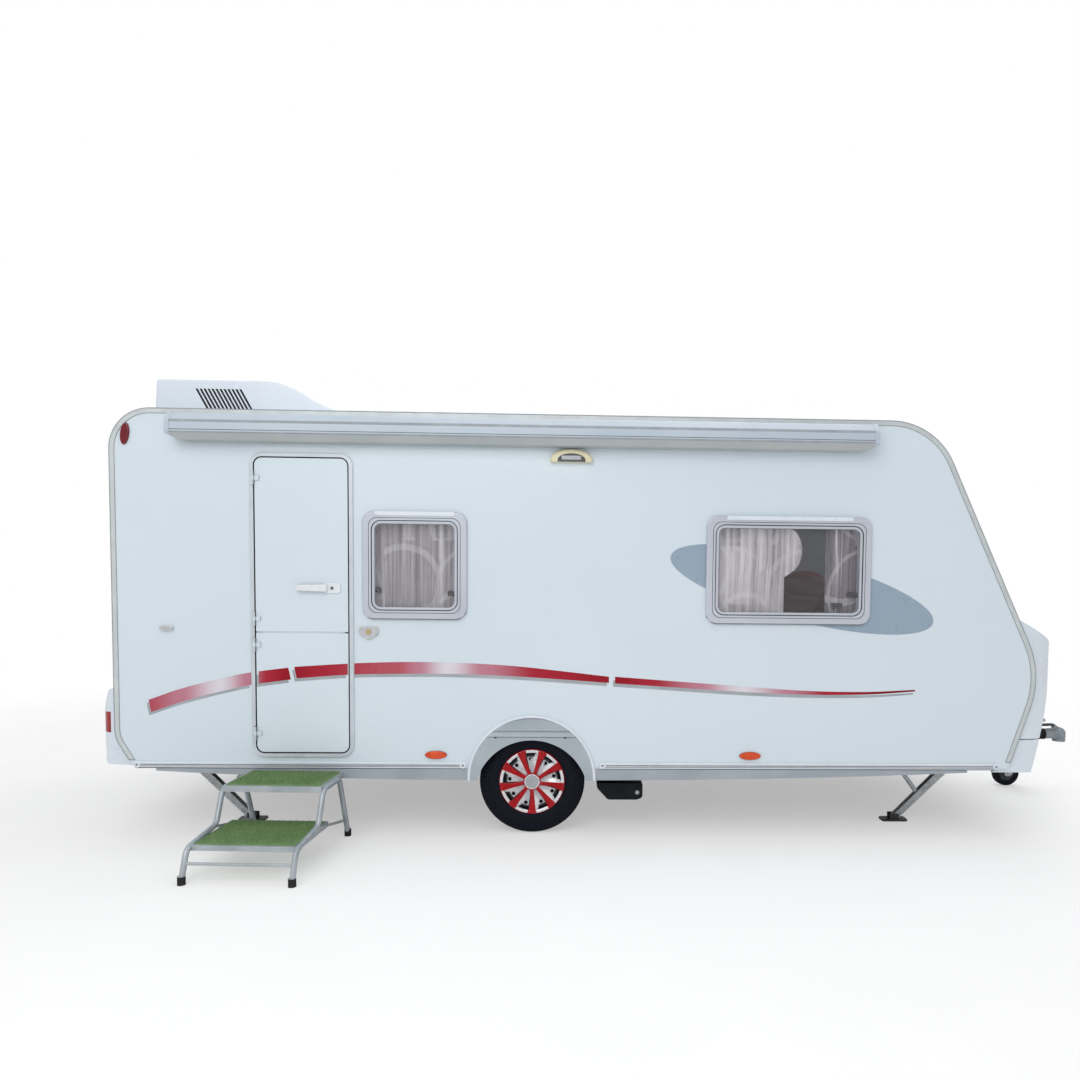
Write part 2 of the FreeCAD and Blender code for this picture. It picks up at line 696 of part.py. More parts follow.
def build_doors():
    """Door frame, the two leaves, their hinges and the handle."""
    face = -HALF_W - DOOR_FRAME_PROUD
    full = (0, ROOF_Z)
    collar = door_plate(DOOR_LIP + LINE_GAP, *full, -HALF_W, -HALF_W + WALL_T)
    bezel = door_plate(0, *full, face, -HALF_W)
    bezel = bezel.makeFillet(4, front_edges(bezel, face))
    frame = fuse(bezel, collar).cut(door_plate(DOOR_FRAME_W, *full, face - 1, -HALF_W + WALL_T + 1))
    inset = DOOR_FRAME_W + DOOR_GAP
    leaf_y = (face, face + DOOR_T)
    upper = door_plate(inset, DOOR_SPLIT_Z + DOOR_GAP / 2, DOOR_Z[1], *leaf_y)
    lower = door_plate(inset, DOOR_Z[0], DOOR_SPLIT_Z - DOOR_GAP / 2, *leaf_y)
    upper = upper.makeFillet(3, front_edges(upper, face))
    lower = lower.makeFillet(3, front_edges(lower, face))
    for z in HINGE_Z:
        fixed, moving, bore = door_hinge(DOOR_X[0] + DOOR_FRAME_W, face - HINGE_R - 1, z, face + 4)
        frame = fuse(frame, *fixed)
        if z > DOOR_SPLIT_Z:
            upper = fuse(upper, *moving).cut(bore)
        else:
            lower = fuse(lower, *moving).cut(bore)
    export("door_frame", frame)
    export("upper_door", upper)
    export("lower_door", lower)
    plate = rounded_plate(*HANDLE_PLATE, 20, -8, 0)
    plate = plate.makeFillet(3, front_edges(plate, -8))
    reach, tip_h, root_h = HANDLE_LEVER
    root = HANDLE_PLATE[0] / 2
    corners = [(20 - root, root_h / 2, 8), (-root - reach, tip_h / 2, 12),
               (-root - reach, -tip_h / 2, 12), (20 - root, -root_h / 2, 8)]
    lever = outline(corners, side_plane(-30)).extrude(Vector(0, 14, 0))
    lever = lever.makeFillet(4, front_edges(lever, -30))
    post = Part.makeCylinder(13, 26, Vector(8 - root, -28, 0), Vector(0, 1, 0))
    lock = Part.makeCylinder(13, 10, Vector(0, -12, 0), Vector(0, 1, 0))
    handle = fuse(plate, lever, post, lock)
    handle.translate(Vector(HANDLE_AT[0], face, HANDLE_AT[1]))
    export("door_handle", handle)


def build_wall_fittings():
    """Door catch behind the doorway and lock plate in front of it."""
    catch = rounded_plate(*CATCH_SIZE, 12, -22, 0)
    catch = catch.makeFillet(5, front_edges(catch, -22))
    catch.translate(Vector(CATCH_AT[0], -HALF_W, CATCH_AT[1]))
    w, top, low = LOCK_SHIELD
    shield = [(-w, top, 20), (w, top, 20), (0.9 * w, -8, 26), (0, low, 22), (-0.9 * w, -8, 26)]
    plate = outline(shield, side_plane(-14)).extrude(Vector(0, 14, 0))
    barrel = Part.makeCylinder(15, 22, Vector(0, -22, 4), Vector(0, 1, 0))
    lock = fuse(plate, barrel)
    lock.translate(Vector(LOCK_AT[0], -HALF_W, LOCK_AT[1]))
    export("wall_fittings", catch, lock)


def awning_corners(grow=0):
    """Cassette section: back on the wall, flat top, round nose, undercut foot."""
    d, (z0, z1) = AWNING_DEPTH, AWNING_Z
    return [(-HALF_W, z0, 0), (-HALF_W, z1, 0), (-HALF_W - d * 0.62, z1 + grow, 26),
            (-HALF_W - d - grow, z1 - 52, 40), (-HALF_W - d - grow, z0 + 44, 20),
            (-HALF_W - d * 0.70, z0 - grow, 16)]


def build_awning():
    """Rolled-up awning in its cassette, with grooves, chamfered end caps and light."""
    low, high = AWNING_X
    case = outline(awning_corners(), cross_plane(low + AWNING_CAP_L))
    case = case.extrude(Vector(high - low - 2 * AWNING_CAP_L, 0, 0))
    front = -HALF_W - AWNING_DEPTH
    for drop in AWNING_GROOVES:
        z = AWNING_Z[1] - drop
        case = case.cut(block((low, high), (front - 1, front + 5), (z - 2, z + 2)))
    caps = []
    for x in (low, high - AWNING_CAP_L):
        caps.append(outline(awning_corners(3), cross_plane(x)).extrude(Vector(AWNING_CAP_L, 0, 0)))
    run, rise = AWNING_CHAMFER
    foot = AWNING_Z[0] - 4
    slants = []
    for x, inward in ((low, 1), (high, -1)):
        corners = [(x - inward, foot, 0), (x - inward, foot + rise, 0), (x + inward * run, foot, 0)]
        slants.append(outline(corners, side_plane(front - 20)).extrude(Vector(0, -HALF_W - front + 21, 0)))
    export("awning_case", fuse(case, *caps).cut(slants))
    w, (z0, z1) = LIGHT_W, LIGHT_Z
    corners = [(-w / 2, z0, 12), (-w / 2 + 16, z1, 40), (w / 2 - 16, z1, 40), (w / 2, z0, 12)]
    back = -HALF_W
    body = outline(corners, side_plane(back - LIGHT_PROUD)).extrude(Vector(0, LIGHT_PROUD, 0))
    body = body.makeFillet(6, front_edges(body, back - LIGHT_PROUD))
    half = w / 2 - LENS_INSET
    recess = block((-half, half), (back - LIGHT_PROUD - 1, back - 22), (z0 - 1, z0 + 60))
    lens = block((4 - half, half - 4), (back - LIGHT_PROUD + 3, back - 21), (z0 + 3, z0 + 56))
    light = fuse(body.cut(recess), lens)
    light.translate(Vector(LIGHT_X, 0, 0))
    export("awning_light", light)


def build_roof_units():
    """Air conditioner, mushroom vent and rooflight with its lid."""
    (x0, x1), y0 = AC_X, AC_INSET - HALF_W
    y1 = y0 + AC_W
    base, top = ROOF_Z, ROOF_Z + AC_H
    corners = [(x0, base, 0), (x0 + 14, top, 24), (x1 - AC_NOSE_L, top, AC_NOSE_R),
               (x1 - 104, base + 80, 120), (x1, base + 42, 10), (x1, base, 0)]
    unit = outline(corners, side_plane(y0)).extrude(Vector(0, AC_W, 0))
    long_top = [e for e in unit.Edges if e.BoundBox.YLength < 1 and e.BoundBox.ZMin > base + 46]
    unit = unit.makeFillet(18, long_top)
    slots = []
    for side in (y0 - 1, y1 - 11):
        for k in range(AC_SLOTS):
            x = x0 + AC_SLOT_X + k * AC_SLOT_PITCH
            foot, head = Vector(x + AC_SLOT_LEAN, side, base + 44), Vector(x, side, base + 165)
            width = Vector(AC_SLOT_W, 0, 0)
            wire = Part.makePolygon([foot, foot + width, head + width, head, foot])
            slots.append(Part.Face(wire).extrude(Vector(0, 12, 0)))
    export("air_conditioner", unit.cut(slots))
    x, y = VENT_X, VENT_INSET - HALF_W
    stem = Part.makeCylinder(30, VENT_H - 20, Vector(x, y, ROOF_Z))
    cap = Part.makeCone(44, 34, 20, Vector(x, y, ROOF_Z + VENT_H - 20))
    export("roof_vent", fuse(stem, cap))
    x, y = SKYLIGHT_POS
    h = SKYLIGHT / 2
    top = ROOF_Z + SKYLIGHT_H
    rim = block((x - h, x + h), (y - h, y + h), (ROOF_Z, ROOF_Z + 14))
    collar = block((x - h + 30, x + h - 30), (y - h + 30, y + h - 30), (ROOF_Z + 13, top))
    bore = block((x - h + 46, x + h - 46), (y - h + 46, y + h - 46), (ROOF_Z - 1, top + 1))
    export("rooflight_frame", fuse(rim, collar).cut(bore))
    lid_low = top + LINE_GAP
    low = lid_low - SKYLIGHT_SKIRT
    hull = block((x - h + 6, x + h - 6), (y - h + 6, y + h - 6), (low, lid_low + SKYLIGHT_LID_T))
    hull = hull.makeFillet(22, [e for e in hull.Edges if e.BoundBox.ZMin > low + 1])
    hollow = block((x - h + 16, x + h - 16), (y - h + 16, y + h - 16), (low - 1, lid_low))
    export("rooflight_lid", hull.cut(hollow))


def locker_corners(inset=0):
    """Section of the bulging front moulding, from its top joint down."""
    top, foot = LOCKER_TOP_Z, WALL_BOTTOM_Z - 30
    waist, waist_z = LOCKER_WAIST
    return [(slope_x(top) - 40, top, 0), (slope_x(top) + 10 - inset, top - inset, 0),
            (NOSE_X + LOCKER_PROUD - inset, LOCKER_BROW_Z - inset / 2, 110),
            (NOSE_X + waist - inset, waist_z, 400), (NOSE_FOOT_X + LOCKER_FOOT - inset, foot, 0),
            (NOSE_FOOT_X - 80, foot, 0), (NOSE_X - 260, NOSE_Z, 300)]


def locker_bulge(inset):
    """Bulging front moulding with rounded corners in plan."""
    w = LOCKER_W / 2 - inset
    body = outline(locker_corners(inset), side_plane(-w)).extrude(Vector(0, 2 * w, 0))
    back, front = LOCKER_BACK_X, NOSE_X + LOCKER_PROUD - inset
    r = LOCKER_CORNER_R - inset
    plan = outline([(back, -w, 0), (back, w, 0), (front, w, r), (front, -w, r)], level_plane(0))
    return body.common(plan.extrude(Vector(0, 0, LOCKER_TOP_Z + 100)))


def build_locker():
    """Gas locker box behind the front panel, and the bulging lid in front of it."""
    inner = HALF_W - WALL_T - LINE_GAP
    wide, t = (-inner, inner), LOCKER_BOARD_T
    low = FLOOR_Z - FLOOR_T
    back = block((LOCKER_BACK_X, LOCKER_BACK_X + t), wide, (low, LOCKER_TOP_Z + 3 * t))
    tray = block((LOCKER_BACK_X, NOSE_FOOT_X - 30), wide, (low, FLOOR_Z + t))
    roof = block((LOCKER_BACK_X, NOSE_FOOT_X + 30), wide, (LOCKER_TOP_Z + 2 * t, LOCKER_TOP_Z + 3 * t))
    export("gas_locker_box", fuse(back, tray, roof).common(body_slab(-HALF_W, HALF_W, -ROOF_T)))
    skin = locker_bulge(0).cut(locker_bulge(LOCKER_T)).cut(body_slab(-HALF_W, HALF_W, LINE_GAP))
    lid = skin.cut(block((0, FAR), (-FAR, FAR), (0, LOCKER_SPLIT_Z + LID_GAP)))
    valance = skin.cut(block((0, FAR), (-FAR, FAR), (LOCKER_SPLIT_Z, FAR)))
    half = DRAWBAR_NOTCH_W / 2
    notch = block((0, FAR), (-half, half), (0, CHASSIS_Z[1] + 12))
    export("gas_locker_lid", lid)
    export("front_valance", valance.cut(notch))


def bumper_body(inset):
    """Rear bumper moulding as a solid, inset by a wall thickness, round at its ends in plan."""
    x, w, p = REAR_X, BUMPER_W / 2 - inset, BUMPER_PROUD
    (low, top), (z0, z1), front = BUMPER_Z, BUMPER_GROOVE_Z, x - p + BUMPER_GROOVE
    corners = [(x, top, 0), (x - p / 2, top, 26), (x - p, BUMPER_BROW_Z, 60), (front - 6, z1, 0),
               (front, (z0 + z1) / 2, 0), (front - 14, z0, 8), (front - 8, low + 10, 24),
               (REAR_FOOT_X, low, 0), (x, REAR_KINK_Z, 0)]
    section = [(a + inset, b + (-inset if b >= BUMPER_BROW_Z else inset), max(r - inset, 0))
               for a, b, r in corners]
    body = outline(section, side_plane(-w)).extrude(Vector(0, 2 * w, 0))
    front, r = x - p + inset, BUMPER_CORNER_R - inset
    plan = outline([(x + 200, -w, 0), (front, -w, r), (front, w, r), (x + 200, w, 0)], level_plane(0))
    return body.common(plan.extrude(Vector(0, 0, ROOF_Z)))


def build_bumper():
    """Rear bumper, hollow towards the body, with pockets for the returned lamp lenses."""
    x, w = REAR_X, BUMPER_W / 2
    outer = bumper_body(0)
    skin = outer.cut([bumper_body(BUMPER_T), body_slab(-HALF_W, HALF_W, LINE_GAP)])
    lamps, (z0, z1) = [], LAMP_Z
    for side in (-1, 1):
        y = sorted((side * (w + 2), side * (w - LAMP_W)))
        lamps.append(outer.common(block((x - BUMPER_PROUD - 1, x - LAMP_INNER), y, LAMP_Z)))
        y = (y[0] - LINE_GAP, y[1] + LINE_GAP)
        pocket = block((x - BUMPER_PROUD - 9, x - LAMP_INNER + LINE_GAP), y, (z0 - LINE_GAP, z1 + LINE_GAP))
        skin = skin.cut(pocket)
    export("rear_bumper", max(skin.Solids, key=lambda s: s.Volume))
    return lamps


def oval(w, h, depth):
    """Oval lens standing on the local XZ plane, its front rounded, facing -Y."""
    rim = Part.Ellipse(Vector(0, 0, 0), max(w, h) / 2, min(w, h) / 2)
    lens = Part.Face(Part.Wire(rim.toShape())).extrude(Vector(0, 0, depth))
    lens = lens.makeFillet(depth / 2, [e for e in lens.Edges if e.BoundBox.ZMin > depth - 0.1])
    if h > w:
        lens.rotate(Vector(0, 0, 0), Vector(0, 0, 1), 90)
    lens.rotate(Vector(0, 0, 0), Vector(1, 0, 0), 90)
    return lens


def build_lamps(lamps):
    """Rear clusters, oval top markers and amber side markers."""
    marker = oval(*MARKER_SIZE, MARKER_T)
    marker.rotate(Vector(0, 0, 0), Vector(0, 1, 0), MARKER_TILT)
    marker.translate(Vector(MARKER_POS[0], -HALF_W, MARKER_POS[1]))
    lamps += both(marker)
    for x in SIDE_MARKER_X:
        lens = oval(*SIDE_MARKER_SIZE, MARKER_T)
        lens.translate(Vector(x, -HALF_W, SIDE_MARKER_Z))
        lamps += both(lens)
    export("lamps", *lamps)


def channel(x, y_web, side, z):
    """Pressed chassis rail with its web upright and flanges to one side."""
    outer = block(x, sorted((y_web, y_web + side * CHASSIS_FLANGE)), z)
    inner = block((x[0] - 1, x[1] + 1), sorted((y_web + side * SHEET, y_web + side * (CHASSIS_FLANGE + 1))),
                  (z[0] + SHEET, z[1] - SHEET))
    return outer.cut(inner)


def build_chassis():
    """Side rails with cross members, outriggers and steady brackets."""
    z1 = CHASSIS_Z[1]
    parts = both(channel(CHASSIS_X, -RAIL_Y, 1, CHASSIS_Z))
    low, half = z1 - CROSS_H, CROSS_W / 2
    for x in CROSS_X:
        parts.append(block((x - half, x + half), (-OUTRIGGER_Y, OUTRIGGER_Y), (low, z1)))
    for x in STEADY_PIVOT_X:
        arm = block((x - half, x + half), (-STEADY_Y - STEADY_W, -RAIL_Y + SHEET), (low, z1))
        y0, y1 = -STEADY_Y - STEADY_W / 2 - 6, -STEADY_Y + STEADY_W / 2 + 1
        plates = [block((x - 26, x + 26), (y, y + 5), (STEADY_PIVOT_Z - 26, z1)) for y in (y0, y1)]
        pin = Part.makeCylinder(STEADY_PIN_R, y1 + 5 - y0, Vector(x, y0, STEADY_PIVOT_Z), Vector(0, 1, 0))
        for piece in (arm, pin, *plates):
            parts += both(piece)
    export("chassis_rails", fuse(*parts))


def drawbar_start():
    """Half distance between the drawbar's bars where they leave the chassis rails."""
    return RAIL_Y - CHASSIS_FLANGE - CHASSIS_GAP


def drawbar_line():
    """Length of a drawbar bar and the place of the right one."""
    run, rise = DRAWBAR_TIP_X - DRAWBAR_START_X, drawbar_start() - DRAWBAR_TIP_Y
    place = Placement(Vector(DRAWBAR_START_X, -drawbar_start(), 0), Rotation(degrees(atan2(rise, run)), 0, 0))
    return hypot(run, rise), place


def tongue_z(x):
    """Height of the drawbar's top, level and then sloping down to its tip."""
    return CHASSIS_Z[1] - TONGUE_DROP * max(x - TONGUE_X, 0) / (DRAWBAR_TIP_X - TONGUE_X)


def build_drawbar():
    """Two converging bars joined at the sloping tip, with the brake bracket on top."""
    z0, z1 = CHASSIS_Z
    tip, t = DRAWBAR_TIP_X, DRAWBAR_PLATE_T
    length, place = drawbar_line()
    bar = placed(channel((0, length), 0, 1, CHASSIS_Z), place)
    start_y, end = drawbar_start(), tip + 10
    nose = block((tip - 160, end), (-46, 46), CHASSIS_Z)
    plan = [(DRAWBAR_START_X, -start_y, 0), (tip, -DRAWBAR_TIP_Y, 0),
            (tip, DRAWBAR_TIP_Y, 0), (DRAWBAR_START_X, start_y, 0)]
    between = outline(plan, level_plane(z0)).extrude(Vector(0, 0, z1 - z0))
    brace = block((BRACE_X - 20, BRACE_X + 20), (-start_y, start_y), (z1 - CROSS_H, z1 - 20)).common(between)
    past, over = end + 20, z1 + 50
    wedge = outline([(TONGUE_X, z1, 0), (past, tongue_z(past), 0), (past, over, 0), (TONGUE_X, over, 0)],
                    side_plane(-start_y)).extrude(Vector(0, 2 * start_y, 0))
    frame = fuse(*both(bar), nose, brace).cut(wedge)
    cover = outline([(tip - 200, z1, 0), (TONGUE_X, z1, 0), (end, tongue_z(end), 0),
                     (end, tongue_z(end) + t, 0), (TONGUE_X, z1 + t, 0), (tip - 200, z1 + t, 0)],
                    side_plane(-60)).extrude(Vector(0, 120, 0))
    x, z = BRAKE_X, z1 + BRAKE_PIVOT_H
    ears = [block((x - 24, x + 24), (y, y + 6), (z1, z + 18)) for y in (BRAKE_Y - 7, BRAKE_Y + LEVER_T + 1)]
    pin = Part.makeCylinder(BRAKE_PIN_R, LEVER_T + 14, Vector(x, BRAKE_Y - 7, z), Vector(0, 1, 0))
    foot = block((x - 50, x + 50), (BRAKE_Y - 20, BRAKE_Y + 40), (z1, z1 + t))
    export("drawbar", fuse(frame, cover, foot, *ears, pin))
    lever = outline([(x - 26, z - 20, 18), (x - 26, z + 20, 18), (x + 40, z + 24, 10),
                     (x + 280, z + 62, 8), (x + 286, z + 40, 8), (x + 60, z - 18, 10)],
                    side_plane(BRAKE_Y)).extrude(Vector(0, LEVER_T, 0))
    mid_y = BRAKE_Y + LEVER_T / 2
    grip = rod((x + 190, mid_y, z + 42), (x + 300, mid_y, z + 56), 13)
    hole = Part.makeCylinder(BRAKE_PIN_R + PIN_PLAY, LEVER_T + 2, Vector(x, BRAKE_Y - 1, z), Vector(0, 1, 0))
    export("handbrake_lever", fuse(lever, grip).cut(hole))


def coupling_grip(x, mid):
    """Curved handle over the coupling with a finger opening."""
    grip = [(x - 140, mid + 10, 0), (x - 210, mid + 74, 20), (x - 50, mid + 82, 24), (x + 30, mid + 24, 0)]
    hand = [(x - 132, mid + 38, 8), (x - 160, mid + 60, 8), (x - 66, mid + 64, 8), (x - 36, mid + 44, 8)]
    opening = outline(hand, side_plane(-17)).extrude(Vector(0, 34, 0))
    return outline(grip, side_plane(-16)).extrude(Vector(0, 32, 0)).cut(opening)


def build_coupling():
    """Ball coupling at the end of the overrun tube, with its housing, gaiter and handle."""
    x, tip = COUPLING_X, DRAWBAR_TIP_X
    mid = COUPLING_Z + COUPLING_RISE
    rear, end = tip - 130, tip + 10
    low, high = tongue_z(rear) + DRAWBAR_PLATE_T + LINE_GAP, tongue_z(end) + DRAWBAR_PLATE_T + LINE_GAP
    housing = outline([(rear, low, 0), (end, high, 0), (end + 8, high, 0), (end + 8, mid + 34, 8),
                       (tip - 70, mid + 40, 30), (rear, low + 10, 0)], side_plane(-38))
    housing = housing.extrude(Vector(0, 76, 0))
    tube = rod((tip, 0, mid), (x, 0, mid), COUPLING_TUBE_R)
    x0, x1 = end + 4, x - 120
    pitch, (low_r, high_r) = (x1 - x0) / GAITER_RIBS, GAITER_R
    folds = [(x0 + k * pitch / 2, low_r if k % 2 else high_r) for k in range(2 * GAITER_RIBS + 1)]
    wire = Part.makePolygon([Vector(a, 0, r) for a, r in [(x0, 0), *folds, (x1, 0), (x0, 0)]])
    gaiter = Part.Face(wire).revolve(Vector(0, 0, 0), Vector(1, 0, 0), 360)
    gaiter.translate(Vector(0, 0, mid))
    r, foot = COUPLING_HEAD_R, COUPLING_Z - 14
    head = Part.makeCylinder(r, mid + 6 - foot, Vector(x, 0, foot))
    dome = Part.makeSphere(r, Vector(x, 0, mid + 6))
    neck = block((x - 130, x), (-34, 34), (mid - 30, mid + 28))
    socket = Part.makeCylinder(BALL_R, 44, Vector(x, 0, foot - 1))
    body = fuse(housing, tube, gaiter, head, neck, dome, coupling_grip(x, mid))
    export("coupling_head", body.cut(socket))


def build_jockey():
    """Clamp with outer tube, inner tube, fork and wheel."""
    place = drawbar_line()[1]
    spot = place.multVec(Vector(JOCKEY_ALONG, -JOCKEY_OUT, 0))
    x, y = spot.x, -spot.y
    axis = Vector(0, 1, 0)
    top, low = JOCKEY_TOP, CHASSIS_Z[0] - 5
    tube = Part.makeCylinder(JOCKEY_TUBE_R, top - low, Vector(x, y, low))
    bore = Part.makeCylinder(JOCKEY_INNER_R + PIN_PLAY, top - low - 8, Vector(x, y, low - 1))
    clamp = Part.makeCylinder(JOCKEY_TUBE_R + 12, 64, Vector(x, y, CHASSIS_Z[0] + 2))
    grip_z = (CHASSIS_Z[0] + 8, CHASSIS_Z[0] + 56)
    arm = mirror(placed(block((JOCKEY_ALONG - 20, JOCKEY_ALONG + 20), (-JOCKEY_OUT, 0), grip_z), place))
    crank = rod((x, y, top - 4), (x, y, top + 26), 8)
    bar = rod((x, y, top + 22), (x, y + 150, top + 22), 8)
    knob = rod((x, y + 142, top + 22), (x, y + 142, top + 92), 11)
    export("jockey_clamp", fuse(tube, clamp, arm, crank, bar, knob).cut(bore))
    neck_z = 2 * JOCKEY_WHEEL_R + 26
    inner = Part.makeCylinder(JOCKEY_INNER_R, JOCKEY_INNER_TOP - neck_z, Vector(x, y, neck_z))
    collar = Part.makeCylinder(JOCKEY_INNER_R + 8, 16, Vector(x, y, neck_z))
    export("jockey_leg", fuse(inner, collar))
    wheel_x = x - JOCKEY_TRAIL
    half = JOCKEY_WHEEL_W / 2 + 6
    seat = neck_z - LINE_GAP
    crown = block((wheel_x - 34, x + 34), (y - half - 6, y + half + 6), (seat - 10, seat))
    plates = []
    for y0 in (y - half - 6, y + half):
        corners = [(wheel_x - 34, neck_z - 8, 0), (x + 34, neck_z - 8, 0), (x + 30, neck_z - 50, 20),
                   (wheel_x + 24, JOCKEY_WHEEL_R - 22, 20), (wheel_x - 24, JOCKEY_WHEEL_R - 22, 20)]
        plates.append(outline(corners, side_plane(y0)).extrude(Vector(0, 6, 0)))
    pin = Part.makeCylinder(JOCKEY_PIN_R, 2 * half + 20, Vector(wheel_x, y - half - 10, JOCKEY_WHEEL_R), axis)
    export("jockey_fork", fuse(crown, *plates, pin))
    side = y - JOCKEY_WHEEL_W / 2
    tyre = Part.makeCylinder(JOCKEY_WHEEL_R, JOCKEY_WHEEL_W, Vector(wheel_x, side, JOCKEY_WHEEL_R), axis)
    rims = [e for e in tyre.Edges if abs(e.BoundBox.ZLength - 2 * JOCKEY_WHEEL_R) < 1]
    tyre = tyre.makeChamfer(12, rims)
    dish = 0.62 * JOCKEY_WHEEL_R
    for y0 in (side - 1, side + JOCKEY_WHEEL_W - 9):
        ring = Part.makeCylinder(dish, 10, Vector(wheel_x, y0, JOCKEY_WHEEL_R), axis)
        hub = Part.makeCylinder(2.5 * JOCKEY_PIN_R, 10, Vector(wheel_x, y0, JOCKEY_WHEEL_R), axis)
        tyre = tyre.cut(ring.cut(hub))
    hole = Part.makeCylinder(JOCKEY_PIN_R + PIN_PLAY, JOCKEY_WHEEL_W + 2,
                             Vector(wheel_x, side - 1, JOCKEY_WHEEL_R), axis)
    export("jockey_wheel", tyre.cut(hole))


def revolve(corners, centre):
    """Ring from (offset along Y, radius, rounding) corners around a wheel's axle."""
    section = outline([(*c, 0)[:3] for c in corners], lambda p: Vector(0, p.x, p.y))
    ring = section.revolve(Vector(0, 0, 0), Vector(0, 1, 0), 360)
    ring.translate(Vector(*centre))
    return ring


def half_turn(shape):
    """Copy turned half round about the vertical through the origin."""
    turned = shape.copy()
    turned.rotate(Vector(0, 0, 0), Vector(0, 0, 1), 180)
    return turned


def on_wheel(shape, angle):
    """Copy of a shape made above the origin, turned about the wheel's axle."""
    turned = shape.copy()
    turned.rotate(Vector(0, 0, 0), Vector(0, 1, 0), angle)
    turned.translate(Vector(0, 0, WHEEL_Z))
    return turned


def spoke_section(radius, blade, left, right, lip, drop):
    """Cross-section of a trim spoke: sloping blade, crowned face and narrow turned-down edge."""
    face = -WHEEL_Y - TYRE_W / 2 - TRIM_PROUD + drop
    sway = 4 * sin(radians(180 * (radius - TRIM_HUB_R) / (TRIM_R - TRIM_HUB_R)))
    foot = TRIM_DEPTH + 1.5 - drop
    points = [(-blade, foot), (-left, 3), (0, 0), (right, 3), (right + lip, 5), (right + lip, foot)]
    return Part.makePolygon([Vector(u - sway, face + d, radius) for u, d in points + points[:1]])


def build_trim():
    """Wheel trim of the right wheel: ring, holed plate, hub and nine lofted spokes."""
    centre = (0, -WHEEL_Y, WHEEL_Z)
    face = -TYRE_W / 2 - TRIM_PROUD
    back, r, hub_r = -RIM_W / 2 - LINE_GAP, TRIM_R, TRIM_HUB_R
    ring = revolve([(face + 7, r), (face + 12, r), (back, r - 14), (back, r - 20), (face + 12, r - 23),
                    (face + 3, r - 22), (face, r - 15, 4), (face + 1, r - 6, 4)], centre)
    plate = revolve([(face + TRIM_DEPTH, 44), (face + TRIM_DEPTH, TRIM_PLATE_R),
                     (face + TRIM_DEPTH + 3, TRIM_PLATE_R), (face + TRIM_DEPTH + 3, 44)], centre)
    hub = revolve([(face + 1, 0), (face, 37), (face + 2, 39), (face - 1, 40), (face - 1, 44), (face + 1, 46),
                   (face + 3, hub_r, 3), (face + TRIM_DEPTH + 2, hub_r), (face + TRIM_DEPTH + 2, 0)], centre)
    sections = ((hub_r - 4, 12, 9, 8, 2, 0), (92, 30, 12, 11, 3, 0), (140, 40, 16, 14, 3, 0),
                (r - 26, 34, 22, 20, 3, 0), (r - 5, 28, 27, 25, 1, 2))
    spoke = Part.makeLoft([spoke_section(*s) for s in sections], True, False)
    front = Vector(0, -WHEEL_Y + face + 8, TRIM_HOLE_AT)
    hole = Part.makeCylinder(TRIM_HOLE_R, TRIM_DEPTH, front, Vector(0, 1, 0))
    step = 360 / SPOKES
    spokes = [on_wheel(spoke, SPOKE_TURN + step * k) for k in range(SPOKES)]
    holes = [on_wheel(hole, step * k - 4) for k in range(SPOKES)]
    return fuse(ring, plate.cut(holes), hub, *spokes)


def build_wheels():
    """Tyre, steel rim and spoked trim of each wheel."""
    w = TYRE_W / 2
    centre = (0, -WHEEL_Y, WHEEL_Z)
    waist = TYRE_R - 0.45 * (TYRE_R - RIM_R)
    tread = w - TREAD_SIDE
    tyre = revolve([(-tread, TYRE_R), (tread, TYRE_R), (w + 3, waist), (w - 24, RIM_R), (24 - w, RIM_R),
                    (-w - 3, waist)], centre)
    half = RIM_W / 2
    r = RIM_R - LINE_GAP
    bore = HUB_PIN_R + PIN_PLAY
    rim = revolve([(-half, r), (half, r), (half, r - 10), (-half + 58, r - 22), (-half + 52, 66),
                   (-half + 74, 44), (-half + 74, bore), (-half + 28, bore), (-half + 28, 58),
                   (-half + 42, 74), (-half + 42, r - 40), (-half + 30, r - 14), (-half, r - 10)], centre)
    hole = Part.makeCylinder(15, 60, Vector(0, -WHEEL_Y - half + 20, 118), Vector(0, 1, 0))
    rim = rim.cut([on_wheel(hole, 30 * k) for k in range(12)])
    for name, shape in (("tyre", tyre), ("rim", rim), ("trim", build_trim())):
        export(name + "_right", shape)
        export(name + "_left", half_turn(shape))


def build_axle():
    """Hexagonal axle tube under the rails with swing arms and stub axles."""
    r, reach = AXLE_FLATS / sqrt(3), HALF_W - AXLE_INSET
    points = [Vector(AXLE_X + r * cos(radians(60 * k)), -reach, AXLE_Z + r * sin(radians(60 * k)))
              for k in range(7)]
    parts = [Part.Face(Part.makePolygon(points)).extrude(Vector(0, 2 * reach, 0))]
    corners = [(AXLE_X + 44, AXLE_Z + 44, 36), (AXLE_X + 44, AXLE_Z - 44, 36),
               (-40, WHEEL_Z - 40, 32), (-40, WHEEL_Z + 40, 32)]
    arm = outline(corners, side_plane(-reach - 30)).extrude(Vector(0, 30, 0))
    saddle = block((AXLE_X - 70, AXLE_X + 70), (-RAIL_Y - SHEET, -RAIL_Y + 50), (AXLE_Z, CHASSIS_Z[0]))
    stub = rod((0, -reach - 28, WHEEL_Z), (0, -WHEEL_Y - RIM_W / 2 + 28, WHEEL_Z), HUB_PIN_R)
    hub = rod((0, -reach - 28, WHEEL_Z), (0, -WHEEL_Y + 12, WHEEL_Z), 60)
    for piece in (arm, saddle, stub, hub):
        parts += both(piece)
    export("axle_beam", fuse(*parts))


